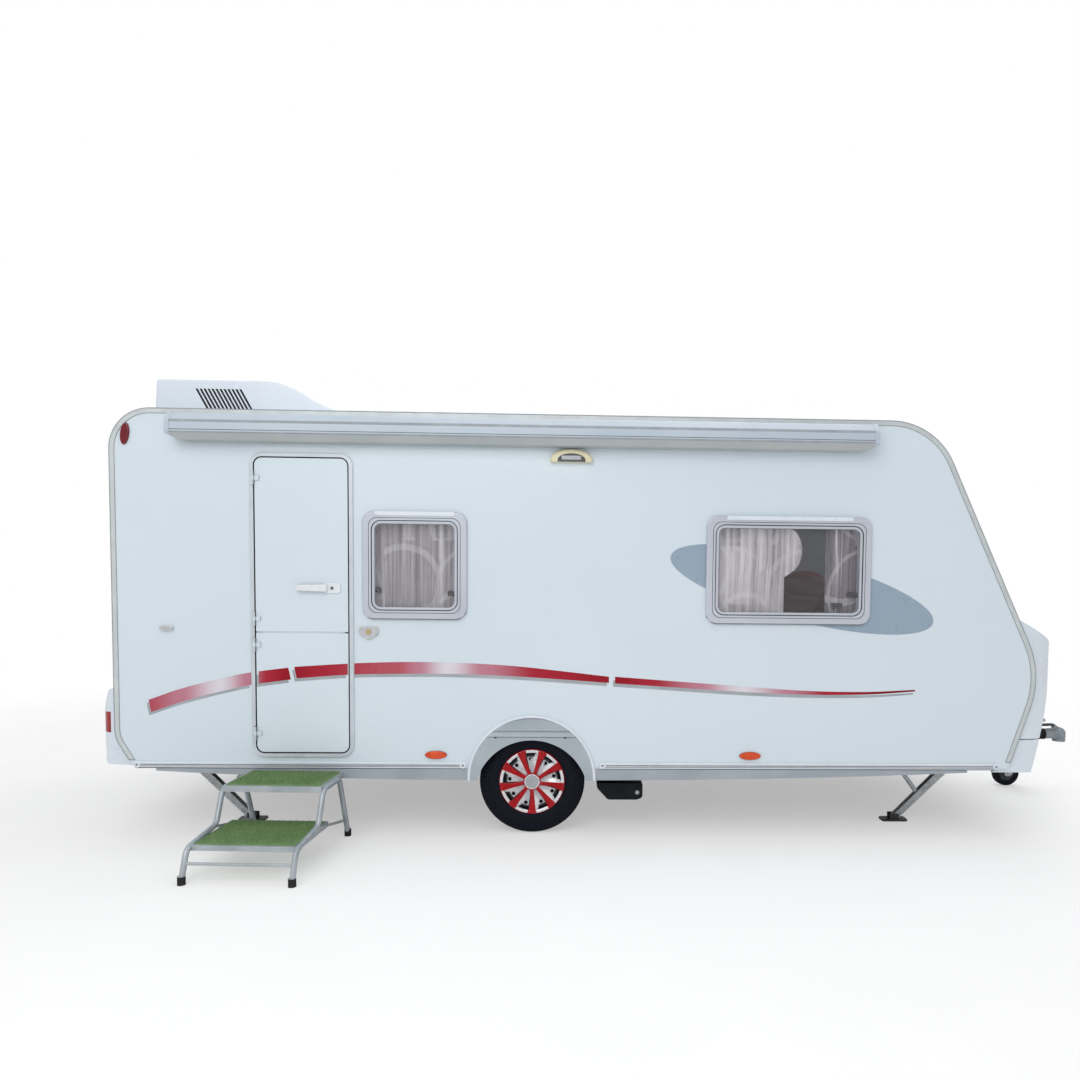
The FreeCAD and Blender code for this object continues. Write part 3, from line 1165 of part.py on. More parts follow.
def steady(side_x, y):
    """Leg and strut of one corner steady, leg foot on the ground."""
    pivot = Vector(STEADY_PIVOT_X[0 if side_x < 0 else 1], y, STEADY_PIVOT_Z)
    turn = 1 if side_x < 0 else -1
    foot = Vector(pivot.x + turn * STEADY_RUN, y, 0)
    drop = STEADY_PIVOT_Z - 22
    slope, length = atan2(drop, STEADY_RUN), hypot(STEADY_RUN, drop)
    half, web = STEADY_W / 2, STEADY_WEB_Z
    leg = outline([(-26, -web, 20), (-26, 24, 20), (length, 16, 0), (length, 2 - web, 0)],
                  side_plane(-half)).extrude(Vector(0, STEADY_W, 0))
    end, floor = length + 1, SHEET - web
    inner = outline([(-40, floor, 0), (-40, 30, 0), (end, 30, 0), (end, floor + 2, 0)],
                    side_plane(-half + SHEET)).extrude(Vector(0, STEADY_W - 2 * SHEET, 0))
    axis = Vector(0, 1, 0)
    pin = Part.makeCylinder(STEADY_PIN_R, STEADY_W, Vector(STEADY_JOINT, -half, 0), axis)
    hole = Part.makeCylinder(STEADY_PIN_R + PIN_PLAY, STEADY_W + 2, Vector(0, -half - 1, 0), axis)
    leg = fuse(leg.cut(inner), pin).cut(hole)
    leg.rotate(Vector(0, 0, 0), axis, degrees(slope))
    if turn < 0:
        leg = leg.mirror(Vector(0, 0, 0), Vector(1, 0, 0))
    leg.translate(pivot)
    pad = rounded_plate(FOOT_L, FOOT_W, 20, 0, 12)
    pad.rotate(Vector(0, 0, 0), Vector(1, 0, 0), 90)
    pad.translate(foot)
    cheeks = [block((foot.x - 30, foot.x + 30), (y0, y0 + 5), (11, 48)) for y0 in (y - half - 5, y + half)]
    leg = fuse(leg, pad, *cheeks)
    rise = STEADY_JOINT * sin(slope)
    joint = Vector(pivot.x + turn * STEADY_JOINT * cos(slope), y, pivot.z - rise)
    reach, b = half - SHEET - 5, STRUT_HALF
    bar = [(-b, -b, b - 1), (-b, b, b - 1), (STRUT_L + b, b, b - 1), (STRUT_L + b, -b, b - 1)]
    bars = [outline(bar, side_plane(y0)).extrude(Vector(0, 5, 0)) for y0 in (-reach, reach - 5)]
    tie = block((STRUT_L * 0.4, STRUT_L * 0.6), (-reach + 1, reach - 1), (-b + 1, -b + 6))
    hole = Part.makeCylinder(STEADY_PIN_R + PIN_PLAY, STEADY_W, Vector(0, -half, 0), axis)
    eye = Part.makeCylinder(9, STEADY_W, Vector(STRUT_L, -half, 0), axis)
    strut = fuse(*bars, tie).cut([hole, eye])
    strut.rotate(Vector(0, 0, 0), axis, -degrees(atan2(rise, sqrt(STRUT_L ** 2 - rise ** 2))))
    if turn < 0:
        strut = strut.mirror(Vector(0, 0, 0), Vector(1, 0, 0))
    strut.translate(joint)
    return leg, strut


def build_steadies():
    """Four corner steadies, each a leg with its strut."""
    for end, side_x in (("rear", -1), ("front", 1)):
        for side, y in (("right", -STEADY_Y), ("left", STEADY_Y)):
            leg, strut = steady(side_x, y)
            export("steady_leg_" + end + "_" + side, leg)
            export("steady_strut_" + end + "_" + side, strut)


def build_movers():
    """Motor mover housing ahead of each wheel, on an arm from the chassis rail."""
    (x0, x1), (z0, z1) = MOVER_X, MOVER_Z
    corners = [(x0, z1, 20), (x1, z1, 10), (x1, z0 + 12, 24), (x1 - 40, z0, 20), (x0 + 86, z0, 36),
               (x0 + 24, z1 - 36, 30)]
    unit = outline(corners, side_plane(-HALF_W + 110)).extrude(Vector(0, 170, 0))
    arm = block(MOVER_ARM, (-HALF_W + 270, -RAIL_Y - LINE_GAP), (z0 + 40, z1 - 10))
    hanger = block(MOVER_ARM, (-RAIL_Y - 40, -RAIL_Y - LINE_GAP), (z0 + 40, CHASSIS_Z[1] - 20))
    export("mover_units", *both(fuse(unit, arm, hanger)))


def hatch_plate(grow, low, high):
    """Plate about the service hatch on the left wall, between two depths outward."""
    w, h = HATCH_SIZE[0] + grow, HATCH_SIZE[1] + grow
    plate = rounded_plate(w, h, 30 + grow / 2, -high, -low)
    plate.Placement = Placement(Vector(HATCH_POS[0], HALF_W, HATCH_POS[1]), Rotation(180, 0, 0))
    return plate


def build_far_side():
    """Service hatch and vents on the left wall."""
    export("service_hatch", hatch_plate(0, LINE_GAP, HATCH_T))
    vents = []
    half = VENT_SIZE[0] / 2 - 40
    for z in VENT_Z:
        plate = rounded_plate(*VENT_SIZE, 20, -12, 0)
        plate = plate.makeFillet(4, front_edges(plate, -12))
        vent = plate.cut([block((-half, half), (-13, -6), (k * 24 - 5, k * 24 + 5)) for k in range(-3, 4)])
        vent.Placement = Placement(Vector(FRIDGE_VENT_X, HALF_W, z), Rotation(180, 0, 0))
        vents.append(vent)
    export("side_vents", *vents)


def build_interior():
    """Benches, kitchen, cabinets, table and cushions."""
    inner = HALF_W - WALL_T - LINE_GAP
    seat_top = FLOOR_Z + SEAT_H
    bench = block(BENCH_X, (-inner, -inner + BENCH_D), (FLOOR_Z, seat_top))
    chest = block((CHEST_X, BENCH_X[1]), (-inner + BENCH_D + 1, inner - BENCH_D - 1), (FLOOR_Z, seat_top))
    cabinet = block(CABINET_X, (inner - CABINET_D, inner), (seat_top + LINE_GAP, CABINET_TOP))
    kitchen = block(KITCHEN_X, (inner - KITCHEN_D, inner), (WHEEL_BOX_Z + 2, KITCHEN_TOP))
    wardrobe = block(WARDROBE_X, (inner - WARDROBE_D, inner), (FLOOR_Z, WARDROBE_TOP))
    bunk = block(BUNK_X, (-inner + 40, inner - 40), (FLOOR_Z, BUNK_TOP))
    (hx, hz), (hw, hh) = HATCH_POS, HATCH_SIZE
    bay = block((hx - hw / 2, hx + hw / 2), (inner - BAY_DEPTH, inner), (FLOOR_Z, hz + hh / 2))
    bay = bay.cut(block((hx - hw / 2 + BAY_T, hx + hw / 2 - BAY_T), (inner - BAY_DEPTH + BAY_T, inner + 1),
                        (FLOOR_Z + BAY_T, hz + hh / 2 - BAY_T)))
    mid = sum(TABLE_X) / 2
    table = fuse(block(TABLE_X, (-TABLE_W / 2, TABLE_W / 2), (TABLE_Z, TABLE_Z + TABLE_T)),
                 Part.makeCylinder(30, TABLE_Z - FLOOR_Z, Vector(mid, 0, FLOOR_Z)),
                 Part.makeCylinder(150, 12, Vector(mid, 0, FLOOR_Z)))
    export("furniture", *both(bench), chest, cabinet, kitchen, wardrobe, bunk, bay, table)
    low = seat_top + LINE_GAP
    x, (back_t, back_h) = (CUSHION_X, CABINET_X[0] - 15), BACKREST
    seats = both(block(x, (-inner + back_t + 7, -inner + BENCH_D - 10), (low, low + CUSHION_T)))
    backs = both(block(x, (-inner + 2, -inner + 2 + back_t), (low, low + back_h)))
    bolster = block((CABINET_X[0] + 20, CABINET_X[1] - 30), (inner - CABINET_D + 10, inner - 60),
                    (CABINET_TOP + LINE_GAP, CABINET_TOP + 62))
    export("seat_cushions", *seats, *backs, bolster)


def build_step():
    """Free-standing double step: two bent side tubes, tread rims, stretchers and two treads."""
    half, r = STEP_W / 2, STEP_TUBE_R
    front, rear = STEP_FOOT_Y
    top_y, low_y = TREAD_Y
    side = [(rear, 20, 0), (rear - 145, STEP_TOP_Z, 45), (top_y[0] + 15, STEP_TOP_Z, 70),
            (low_y[0] + 285, STEP_LOW_Z + 32, 60), (low_y[0] - 20, STEP_LOW_Z - 4, 60), (front, 20, 0)]
    parts, treads = [], []
    for x in (-half, half):
        parts.append(bent_tube(side, r, cross_plane(x)))
        parts.append(rod((x, low_y[0] + 290, STEP_LOW_Z + 20), (x, rear - 42, 108), STRETCHER_R))
        for y in (front, rear):
            parts.append(Part.makeCylinder(r + 5, 44, Vector(x, y, 0)))
    parts.append(rod((-half, front + 26, 100), (half, front + 26, 100), STRETCHER_R))
    for y, z in zip(TREAD_Y, TREAD_Z):
        w = half - STRETCHER_R + 2
        rim = block((-w, w), y, z)
        t = TREAD_RIM
        well = block((-w + t, w - t), (y[0] + t, y[1] - t), (z[0] - 1, z[1] + 1))
        parts.append(rim.cut(well))
        parts.append(block((-w + t - 1, w - t + 1), (sum(y) / 2 - 12, sum(y) / 2 + 12), (z[0], z[0] + 6)))
        edge = t + LINE_GAP
        height = (z[0] + 6 + LINE_GAP, z[1] + 4)
        treads.append(block((-w + edge, w - edge), (y[0] + edge, y[1] - edge), height))
    frame = fuse(*parts)
    for shape in (frame, *treads):
        shape.rotate(Vector(0, STEP_Y, 0), Vector(0, 0, 1), STEP_TURN)
        shape.translate(Vector(STEP_X, -HALF_W, 0))
    export("step_frame", frame)
    export("step_treads", *treads)


build_windows()
build_curtains()
build_side_walls()
build_panels()
build_floor()
build_trims()
build_rails()
build_arch_covers()
build_doors()
build_wall_fittings()
build_awning()
build_roof_units()
build_locker()
build_lamps(build_bumper())
build_chassis()
build_drawbar()
build_coupling()
build_jockey()
build_wheels()
build_axle()
build_steadies()
build_movers()
build_far_side()
build_interior()
build_step()
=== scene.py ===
import random
from math import cos, hypot, pi, radians, sin, sqrt

import bmesh
import bpy
from mathutils import Matrix, Vector


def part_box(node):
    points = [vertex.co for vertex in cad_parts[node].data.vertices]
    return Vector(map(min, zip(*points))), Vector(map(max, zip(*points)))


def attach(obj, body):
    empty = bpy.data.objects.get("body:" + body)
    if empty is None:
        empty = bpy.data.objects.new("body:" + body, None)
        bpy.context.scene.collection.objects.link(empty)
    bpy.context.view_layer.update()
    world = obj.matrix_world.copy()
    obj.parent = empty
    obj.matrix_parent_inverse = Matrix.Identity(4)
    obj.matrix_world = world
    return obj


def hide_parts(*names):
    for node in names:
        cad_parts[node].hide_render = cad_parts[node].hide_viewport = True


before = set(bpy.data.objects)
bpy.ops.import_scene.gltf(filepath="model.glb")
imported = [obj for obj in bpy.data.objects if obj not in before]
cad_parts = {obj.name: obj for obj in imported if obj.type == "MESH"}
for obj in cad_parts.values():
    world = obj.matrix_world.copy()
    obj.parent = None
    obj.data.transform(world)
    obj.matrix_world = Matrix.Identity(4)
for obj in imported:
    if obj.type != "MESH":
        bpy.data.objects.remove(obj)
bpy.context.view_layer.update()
rng = random.Random(7)
looks = {}

# Photograph frame and camera
PHOTO_PX = 1080
SENSOR_MM = 36
FOCAL_PX = 808.5
AXIS_PX = (604.9, 627.5)
CAMERA_AT = (0.273, -6.05, 1.54)
CAMERA_YAW, CAMERA_PITCH, CAMERA_ROLL = radians(-1.937), radians(-2.989), radians(0.599)

# Side wall decoration, metres along the wall and up
DECAL_LIFT = 0.0008
STRIPES = {
    "rear": ([(-2.290, 0.827), (-2.115, 0.890), (-1.957, 0.934), (-1.798, 0.973), (-1.671, 0.998),
              (-1.459, 1.027)],
             [(-2.276, 0.753), (-2.105, 0.813), (-1.950, 0.858), (-1.790, 0.898), (-1.660, 0.925),
              (-1.444, 0.956)]),
    "middle": ([(-1.424, 1.032), (-1.108, 1.053), (-0.771, 1.065), (-0.442, 1.062), (-0.111, 1.045),
                (0.168, 1.017), (0.467, 0.984)],
               [(-1.409, 0.963), (-1.108, 0.986), (-0.772, 0.994), (-0.442, 0.994), (-0.111, 0.983),
                (0.169, 0.966), (0.467, 0.946)]),
    "front": ([(0.504, 0.984), (0.916, 0.955), (1.294, 0.929), (1.673, 0.905), (2.054, 0.900),
               (2.359, 0.915)],
              [(0.504, 0.943), (0.917, 0.918), (1.294, 0.895), (1.673, 0.882), (2.054, 0.884),
               (2.359, 0.905)]),
}
STRIPE_SHADOW = (-0.012, -0.020)
STRIPE_STEP = 0.03
ELLIPSE_AT = (1.646, 1.526)
ELLIPSE_HALF = (0.836, 0.193)
ELLIPSE_TILT = radians(-13.5)

# Side windows, their nets and their latches
DINETTE = {"at": (1.555, 1.640), "size": (1.012, 0.657)}
KITCHEN = {"at": (-0.705, 1.645), "size": (0.623, 0.646)}
WINDOW_CORNER = 0.112
CURTAIN_INSET = 0.030
CURTAIN_GAP = (1.539, 1.796)
CURTAIN_BULGE = (1.765, 0.150, 0.110)
LATCHES = [(1.955, 1.496, 0.2), (1.862, 1.430, -0.5), (-0.946, 1.500, 0.3), (-0.478, 1.481, -0.3)]

# Window frames, as heights off the wall: groove with painted shade, gasket bed, front with the white rail and
# painted highlight, back with painted shade
FRAME_GROOVE, FRAME_BED, FRAME_FRONT, FRAME_BACK = (0.0163, 0.0197), (0.0155, 0.0171), 0.0205, -0.031
FRAME_LIP, FRAME_BORDER = 0.030, 0.012
WINDOW_RINGS = (
    ("gasket", "seal_black", [(0.0535, 0.0200), (0.0540, 0.0206), (0.0568, 0.0206), (0.0572, 0.0165)]),
    ("rim", "frame_silver", [(0.0585, 0.0158), (0.0590, 0.0174), (0.0620, 0.0182), (0.0700, 0.0174),
                             (0.0706, 0.0158)]),
    ("edge", "rail_white", [(0.0706, 0.0158), (0.0712, 0.0176), (0.0728, 0.0176), (0.0732, 0.0158)]))

# Wheels: side of the tyre as inward and outward steps from its widest and from the rim
SPOKES, SPOKE_TURN = 9, radians(20)
TYRE_WALL = [(0.024, 0), (0.016, 0.002), (0.012, 0.010), (0.010, 0.014), (0.0105, 0.017), (0.0045, 0.032),
             (0.0035, 0.038), (0.0015, 0.041), (0.0002, 0.058), (0.0002, 0.070), (0.0022, 0.073),
             (0.0022, 0.077), (0.0008, 0.080), (0.0052, 0.095), (0.0080, 0.098), (0.0130, 0.112),
             (0.0190, 0.124)]
TYRE_GROOVES, GROOVE_DEPTH, BLOCK_CUT = (0.038, 0.013, -0.013, -0.038), 0.007, 0.006
HUB_R, FLANGE_R, SPOKE_R, TRIM_EDGE_R = 0.0388, (0.047, 0.056), (0.050, 0.1965), 0.1975

# Places of small parts
STEP_TURN = radians(-3)
RAIL_SCREWS = [-2.361, -0.416, 0.432, 2.880]
SCREW_HEAD = ((-0.5, 0.0075), (0.6, 0.0072), (1.4, 0.0058), (1.8, 0.0036), (1.2, 0.0024), (1.0, 0.0001))
LOCK_X, LOCK_HALF = -0.981, 0.0155
KEYHOLE = (-1.193, 1.506)
MOVER_BOLT = (0.656, 0.242)
MOVER_FACE_Y = 1.0405
ARCH_CENTRE_Z, ARCH_EDGE_R, ARCH_SHELF_Z = 0.355, 0.3735, 0.55
SLOTS_X, SLOTS_Z, SLOT_DEPTH = (0.22, 0.59), (0.04, 0.17), 0.0125
MARKERS_ABOVE, AMBER_AHEAD, RUBBER_FOOT_Z = 2.0, -2.0, 0.0445

WALL_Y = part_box("side_wall_right")[0].y
LEFT_WALL_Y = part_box("side_wall_left")[1].y
WALLS = (("right", WALL_Y, -1), ("left", LEFT_WALL_Y, 1))


def feed(node, inputs):
    """Set a shader node's inputs: sockets are linked and plain values are written."""
    for key, value in dict(inputs).items():
        if isinstance(value, bpy.types.NodeSocket):
            node.id_data.links.new(value, node.inputs[key])
        else:
            node.inputs[key].default_value = value


def add(tree, kind, inputs=(), **props):
    """Add a shader node; inputs are sockets or plain values."""
    made = tree.nodes.new("ShaderNode" + kind)
    for key, value in props.items():
        setattr(made, key, value)
    feed(made, inputs)
    return made


def sum_of(tree, operation, *values):
    """Result of a math node."""
    return add(tree, "Math", dict(enumerate(values)), operation=operation).outputs[0]


def mix(tree, factor, first, second, blend="MIX"):
    """Blend of two colours."""
    made = add(tree, "Mix", {0: factor, 6: first, 7: second}, data_type="RGBA", blend_type=blend)
    return made.outputs[2]


def color(rgb):
    """RGB with alpha."""
    return (*rgb, 1.0)


def new_material(name):
    """Tree and Principled shader of a material that is kept in looks under its name."""
    mat = bpy.data.materials.new("look_" + name)
    mat.use_nodes = True
    looks[name] = mat
    return mat.node_tree, mat.node_tree.nodes["Principled BSDF"]


def coords(tree, stretch=(1, 1, 1), turn=(0, 0, 0)):
    """Object coordinates, stretched and turned."""
    place = add(tree, "TexCoord").outputs["Object"]
    return add(tree, "Mapping", {"Vector": place, "Scale": stretch, "Rotation": turn}).outputs[0]


def noise(tree, vector, scale, detail=4.0, rough=0.55):
    """Noise value at a scale."""
    inputs = {"Vector": vector, "Scale": scale, "Detail": detail, "Roughness": rough}
    return add(tree, "TexNoise", inputs).outputs[0]


def ramp(tree, value, stops, smooth=False):
    """Colour ramp through (position, colour) stops."""
    made = add(tree, "ValToRGB", {"Fac": value})
    strip = made.color_ramp
    strip.interpolation = "EASE" if smooth else "LINEAR"
    while len(strip.elements) < len(stops):
        strip.elements.new(0.5)
    for element, (at, rgb) in zip(strip.elements, stops):
        element.position = at
        element.color = color(rgb)
    return made.outputs[0]


def tones(tree, value, dark, light, low=0.3, high=0.7):
    """Colour between a dark and a light tone."""
    return ramp(tree, value, [(low, dark), (high, light)])


def spread(tree, value, low, high, source=(0.3, 0.7)):
    """Map a value to a range."""
    return add(tree, "MapRange", {"Value": value, "From Min": source[0], "From Max": source[1],
                                  "To Min": low, "To Max": high}).outputs[0]


def bump(tree, height, distance, strength=1.0):
    """Normal from a height in metres."""
    inputs = {"Height": height, "Distance": distance, "Strength": strength}
    return add(tree, "Bump", inputs).outputs[0]


def surface(name, dark, light, scale=5.0, rough=(0.3, 0.4), metal=0.0, coat=0.0, grain=0.0002,
            stretch=(1, 1, 1), detail=5.0):
    """A finish with slow colour change, uneven gloss and a fine surface grain."""
    tree, shader = new_material(name)
    where = coords(tree, stretch)
    feed(shader, {"Base Color": tones(tree, noise(tree, where, scale, detail), dark, light),
                  "Roughness": spread(tree, noise(tree, where, scale * 3.1), *rough),
                  "Metallic": metal, "Coat Weight": coat, "Coat Roughness": 0.08,
                  "Normal": bump(tree, noise(tree, where, 300.0, 2.0), grain)})


def body_paint():
    """Gloss white sheet with slow waves and a little dust."""
    tree, shader = new_material("body_white")
    where = coords(tree)
    slow, fine = noise(tree, where, 0.7, 3.0), noise(tree, where, 38.0, 6.0, 0.7)
    base = ramp(tree, slow, [(0.3, (0.63, 0.715, 0.775)), (0.7, (0.655, 0.73, 0.79))], True)
    dust = ramp(tree, fine, [(0.5, (1, 1, 1)), (0.9, (0.993, 0.992, 0.988))], True)
    feed(shader, {"Base Color": mix(tree, 1.0, base, dust, "MULTIPLY"),
                  "Roughness": spread(tree, fine, 0.275, 0.305), "Coat Weight": 0.35,
                  "Coat Roughness": 0.06, "Normal": bump(tree, noise(tree, where, 1.1, 1.0), 0.003, 0.25)})


def galvanised():
    """Zinc with spangles and dull patches."""
    tree, shader = new_material("galvanised")
    where = coords(tree)
    cells = add(tree, "TexVoronoi", {"Vector": where, "Scale": 90.0, "Randomness": 1.0})
    tone = add(tree, "SeparateColor", {"Color": cells.outputs["Color"]}).outputs[0]
    feed(shader, {"Base Color": tones(tree, tone, (0.33, 0.35, 0.36), (0.50, 0.52, 0.53), 0.0, 1.0),
                  "Roughness": spread(tree, noise(tree, where, 12.0), 0.38, 0.6), "Metallic": 0.75,
                  "Normal": bump(tree, tone, 0.0001)})


def wood(name, dark, light):
    """Printed wood grain with long fibres."""
    tree, shader = new_material(name)
    rings = add(tree, "TexWave", {"Vector": coords(tree, (1.2, 9.0, 9.0)), "Scale": 1.6, "Distortion": 5.0,
                                  "Detail": 4.0, "Detail Scale": 1.5}, wave_type="BANDS", bands_direction="Y")
    fibre = noise(tree, coords(tree, (4, 120, 120)), 1.0, 6.0)
    both = sum_of(tree, "MULTIPLY", rings.outputs[1], fibre)
    feed(shader, {"Base Color": tones(tree, both, dark, light, 0.1, 0.6),
                  "Roughness": spread(tree, fibre, 0.35, 0.5), "Normal": bump(tree, fibre, 0.0003)})


def rubber(name, dark=(0.003, 0.004, 0.008), light=(0.008, 0.010, 0.019)):
    """Dull black rubber with dust in its grain."""
    tree, shader = new_material(name)
    where = coords(tree)
    dust = noise(tree, where, 22.0, 7.0, 0.7)
    feed(shader, {"Base Color": tones(tree, dust, dark, light, 0.35, 0.75),
                  "Roughness": spread(tree, dust, 0.62, 0.85),
                  "Normal": bump(tree, noise(tree, where, 700.0, 2.0), 0.0002)})


def lens(name, dark, light):
    """Clear plastic lens with moulded prisms."""
    tree, shader = new_material(name)
    where = coords(tree)
    ribs = add(tree, "TexWave", {"Vector": where, "Scale": 160.0 / 6, "Distortion": 0.0, "Detail": 0.0},
               wave_type="BANDS", bands_direction="Z")
    slow = noise(tree, where, 18.0, 3.0)
    feed(shader, {"Base Color": tones(tree, slow, dark, light), "Roughness": spread(tree, slow, 0.06, 0.16),
                  "Coat Weight": 0.6, "Coat Roughness": 0.03,
                  "Normal": bump(tree, ribs.outputs[1], 0.0012, 0.6)})


def tinted_glass():
    """Grey acrylic: mostly clear, its grey base partly the tint and partly a painted veil of reflection, with
    faint wipe marks in its gloss.
    """
    tree, shader = new_material("tinted_glass")
    smear = noise(tree, coords(tree, (2, 2, 9)), 3.0, 5.0)
    # pale grey base at low alpha: the acrylic's tint and a painted veil of reflection over what lies behind
    feed(shader, {"Base Color": tones(tree, smear, (0.20, 0.20, 0.21), (0.28, 0.27, 0.28)),
                  "Roughness": spread(tree, smear, 0.02, 0.07), "Alpha": spread(tree, smear, 0.12, 0.16),
                  "Specular IOR Level": 0.8,
                  "Normal": bump(tree, noise(tree, coords(tree), 4.0, 2.0), 0.002, 0.3)})


# Tones of the nets' folds from shaded to lit, the brightest a painted highlight: the first set for nets in
# full light, the second a copy with painted half shade, the third a copy with painted shade
NET_TONES = {
    "net_curtain": [(0.30, (0.36, 0.32, 0.37)), (0.40, (0.55, 0.50, 0.55)), (0.52, (0.74, 0.69, 0.74)),
                    (0.62, (0.98, 0.96, 0.98))],
    "net_painted_half_shade": [(0.30, (0.30, 0.27, 0.30)), (0.42, (0.46, 0.42, 0.46)), (0.56, (0.62, 0.58, 0.63)),
                 (0.66, (1.0, 0.98, 1.0))],
    "net_painted_shade": [(0.32, (0.10, 0.085, 0.11)), (0.46, (0.24, 0.21, 0.25)), (0.58, (0.40, 0.37, 0.43)),
                   (0.64, (1.0, 0.98, 1.0))],
}
NET_RINGS = [(0.10, 0.46, 0.21, 0.026, 0.5), (0.42, 0.10, 0.19, 0.020, 0.6), (0.30, 0.30, 0.28, 0.014, 0.4),
             (0.78, 0.34, 0.22, 0.022, 0.5), (0.62, 0.06, 0.13, 0.030, 0.4), (0.05, 0.02, 0.15, 0.016, 0.5)]


def net_curtain(name, stops):
    """Net cloth: painted highlight and shade of its folds down its length, large overlapping rings woven in.
    """
    tree, shader = new_material(name)
    uv = add(tree, "TexCoord").outputs["UV"]
    total = None
    for x, z, r, width, depth in NET_RINGS:
        inputs = {0: repeated(tree, uv), 1: (x, z, 0)}
        far = add(tree, "VectorMath", inputs, operation="DISTANCE").outputs["Value"]
        off = sum_of(tree, "ABSOLUTE", sum_of(tree, "SUBTRACT", far, r))
        band = spread(tree, off, depth, 0.0, (width * 0.7, width))
        total = band if total is None else sum_of(tree, "MAXIMUM", total, band)
    threads = {"Vector": uv, "Scale": 110.0, "Distortion": 1.0}
    weave = add(tree, "TexWave", threads, bands_direction="X").outputs[1]
    long_way = add(tree, "Mapping", {"Vector": uv, "Scale": (34, 0.7, 1)}).outputs[0]
    folds = noise(tree, long_way, 1.0, 5.0, 0.65)
    pale = color([0.95 * c for c in stops[-1][1]])
    # colour of the folds: painted highlight and shade
    feed(shader, {"Base Color": mix(tree, total, ramp(tree, folds, stops), pale),
                  "Roughness": spread(tree, weave, 0.7, 0.9, (0, 1)),
                  "Alpha": spread(tree, folds, 0.72, 0.95, (0.35, 0.6)), "Sheen Weight": 0.3,
                  "Normal": bump(tree, weave, 0.0004)})


def repeated(tree, uv):
    """Cloth coordinates that start again every 0.9 m along and 0.6 m down."""
    cell = add(tree, "VectorMath", {0: uv, 1: (0.9, 0.6, 1.0)}, operation="MODULO").outputs[0]
    return add(tree, "VectorMath", {0: cell}, operation="ABSOLUTE").outputs[0]


def cloth(name, dark, light):
    """Woven upholstery."""
    tree, shader = new_material(name)
    where = coords(tree)
    weave = add(tree, "TexBrick", {"Vector": where, "Scale": 150.0, "Mortar Size": 0.02,
                                   "Color1": color(dark), "Color2": color(light), "Mortar": color(dark)})
    slow = noise(tree, where, 7.0, 3.0)
    feed(shader, {"Base Color": mix(tree, slow, weave.outputs[0], color(light)),
                  "Roughness": spread(tree, slow, 0.8, 0.95), "Sheen Weight": 0.25,
                  "Normal": bump(tree, noise(tree, where, 900.0, 2.0), 0.0006)})


def stripe_paint():
    """Red film, paler in the middle of each length."""
    tree, shader = new_material("stripe_red")
    x = add(tree, "SeparateXYZ", {0: coords(tree)}).outputs[0]
    along = spread(tree, x, 0.0, 1.0, (-2.3, 2.37))
    red, deep = (0.38, 0.014, 0.032), (0.29, 0.003, 0.012)
    pale, pink = (0.70, 0.66, 0.72), (0.50, 0.20, 0.26)
    stops = [(0.00, (0.44, 0.07, 0.10)), (0.045, pink), (0.093, pale), (0.127, pink), (0.155, red),
             (0.18, deep), (0.22, red), (0.32, (0.46, 0.09, 0.12)), (0.345, pink), (0.383, pale),
             (0.43, pink), (0.50, red), (0.60, deep), (0.65, red), (0.71, pink), (0.77, pale),
             (0.83, pink), (0.88, red), (0.97, (0.20, 0.006, 0.012))]
    speck = noise(tree, coords(tree), 9.0, 3.0)
    dust = tones(tree, speck, (0.97, 0.97, 0.97), (1, 1, 1))
    feed(shader, {"Base Color": mix(tree, 1.0, ramp(tree, along, stops, True), dust, "MULTIPLY"),
                  "Roughness": spread(tree, speck, 0.22, 0.32), "Coat Weight": 0.1})


def turf_green():
    """Plastic grass, each blade its own green."""
    tree, shader = new_material("turf_green")
    where = coords(tree)
    fine, slow = noise(tree, where, 260.0, 3.0), noise(tree, where, 9.0, 3.0)
    blades = tones(tree, fine, (0.080, 0.155, 0.050), (0.28, 0.42, 0.19))
    patches = tones(tree, slow, (0.13, 0.23, 0.085), (0.22, 0.35, 0.155))
    feed(shader, {"Base Color": mix(tree, 0.4, blades, patches), "Roughness": spread(tree, fine, 0.5, 0.8)})


def trim_plate(name, sign, centre):
    """Holed plate behind the trim's spokes: silver fields with black gaps between them."""
    tree, shader = new_material(name)
    spot = add(tree, "VectorMath", {0: coords(tree), 1: centre}, operation="SUBTRACT").outputs[0]
    parts = add(tree, "SeparateXYZ", {0: spot}).outputs
    flat = add(tree, "VectorMath", {0: spot, 1: (1, 0, 1)}, operation="MULTIPLY").outputs[0]
    radius = add(tree, "VectorMath", {0: flat}, operation="LENGTH").outputs["Value"]
    angle = sum_of(tree, "ARCTAN2", sum_of(tree, "MULTIPLY", parts[0], sign), parts[2])
    cell = sum_of(tree, "MODULO", sum_of(tree, "ADD", angle, 2 * pi + radians(23)), 2 * pi / SPOKES)
    side = sum_of(tree, "ABSOLUTE", sum_of(tree, "SUBTRACT", cell, pi / SPOKES))
    field = sum_of(tree, "MULTIPLY", spread(tree, side, 1.0, 0.0, (radians(8.6), radians(9.4))),
                   spread(tree, radius, 1.0, 0.0, (0.151, 0.153)))
    grain = noise(tree, coords(tree), 60.0, 3.0)
    silver = tones(tree, grain, (0.40, 0.41, 0.44), (0.54, 0.55, 0.58))
    feed(shader, {"Base Color": mix(tree, field, color((0.006, 0.006, 0.007)), silver),
                  "Roughness": spread(tree, grain, 0.3, 0.45)})


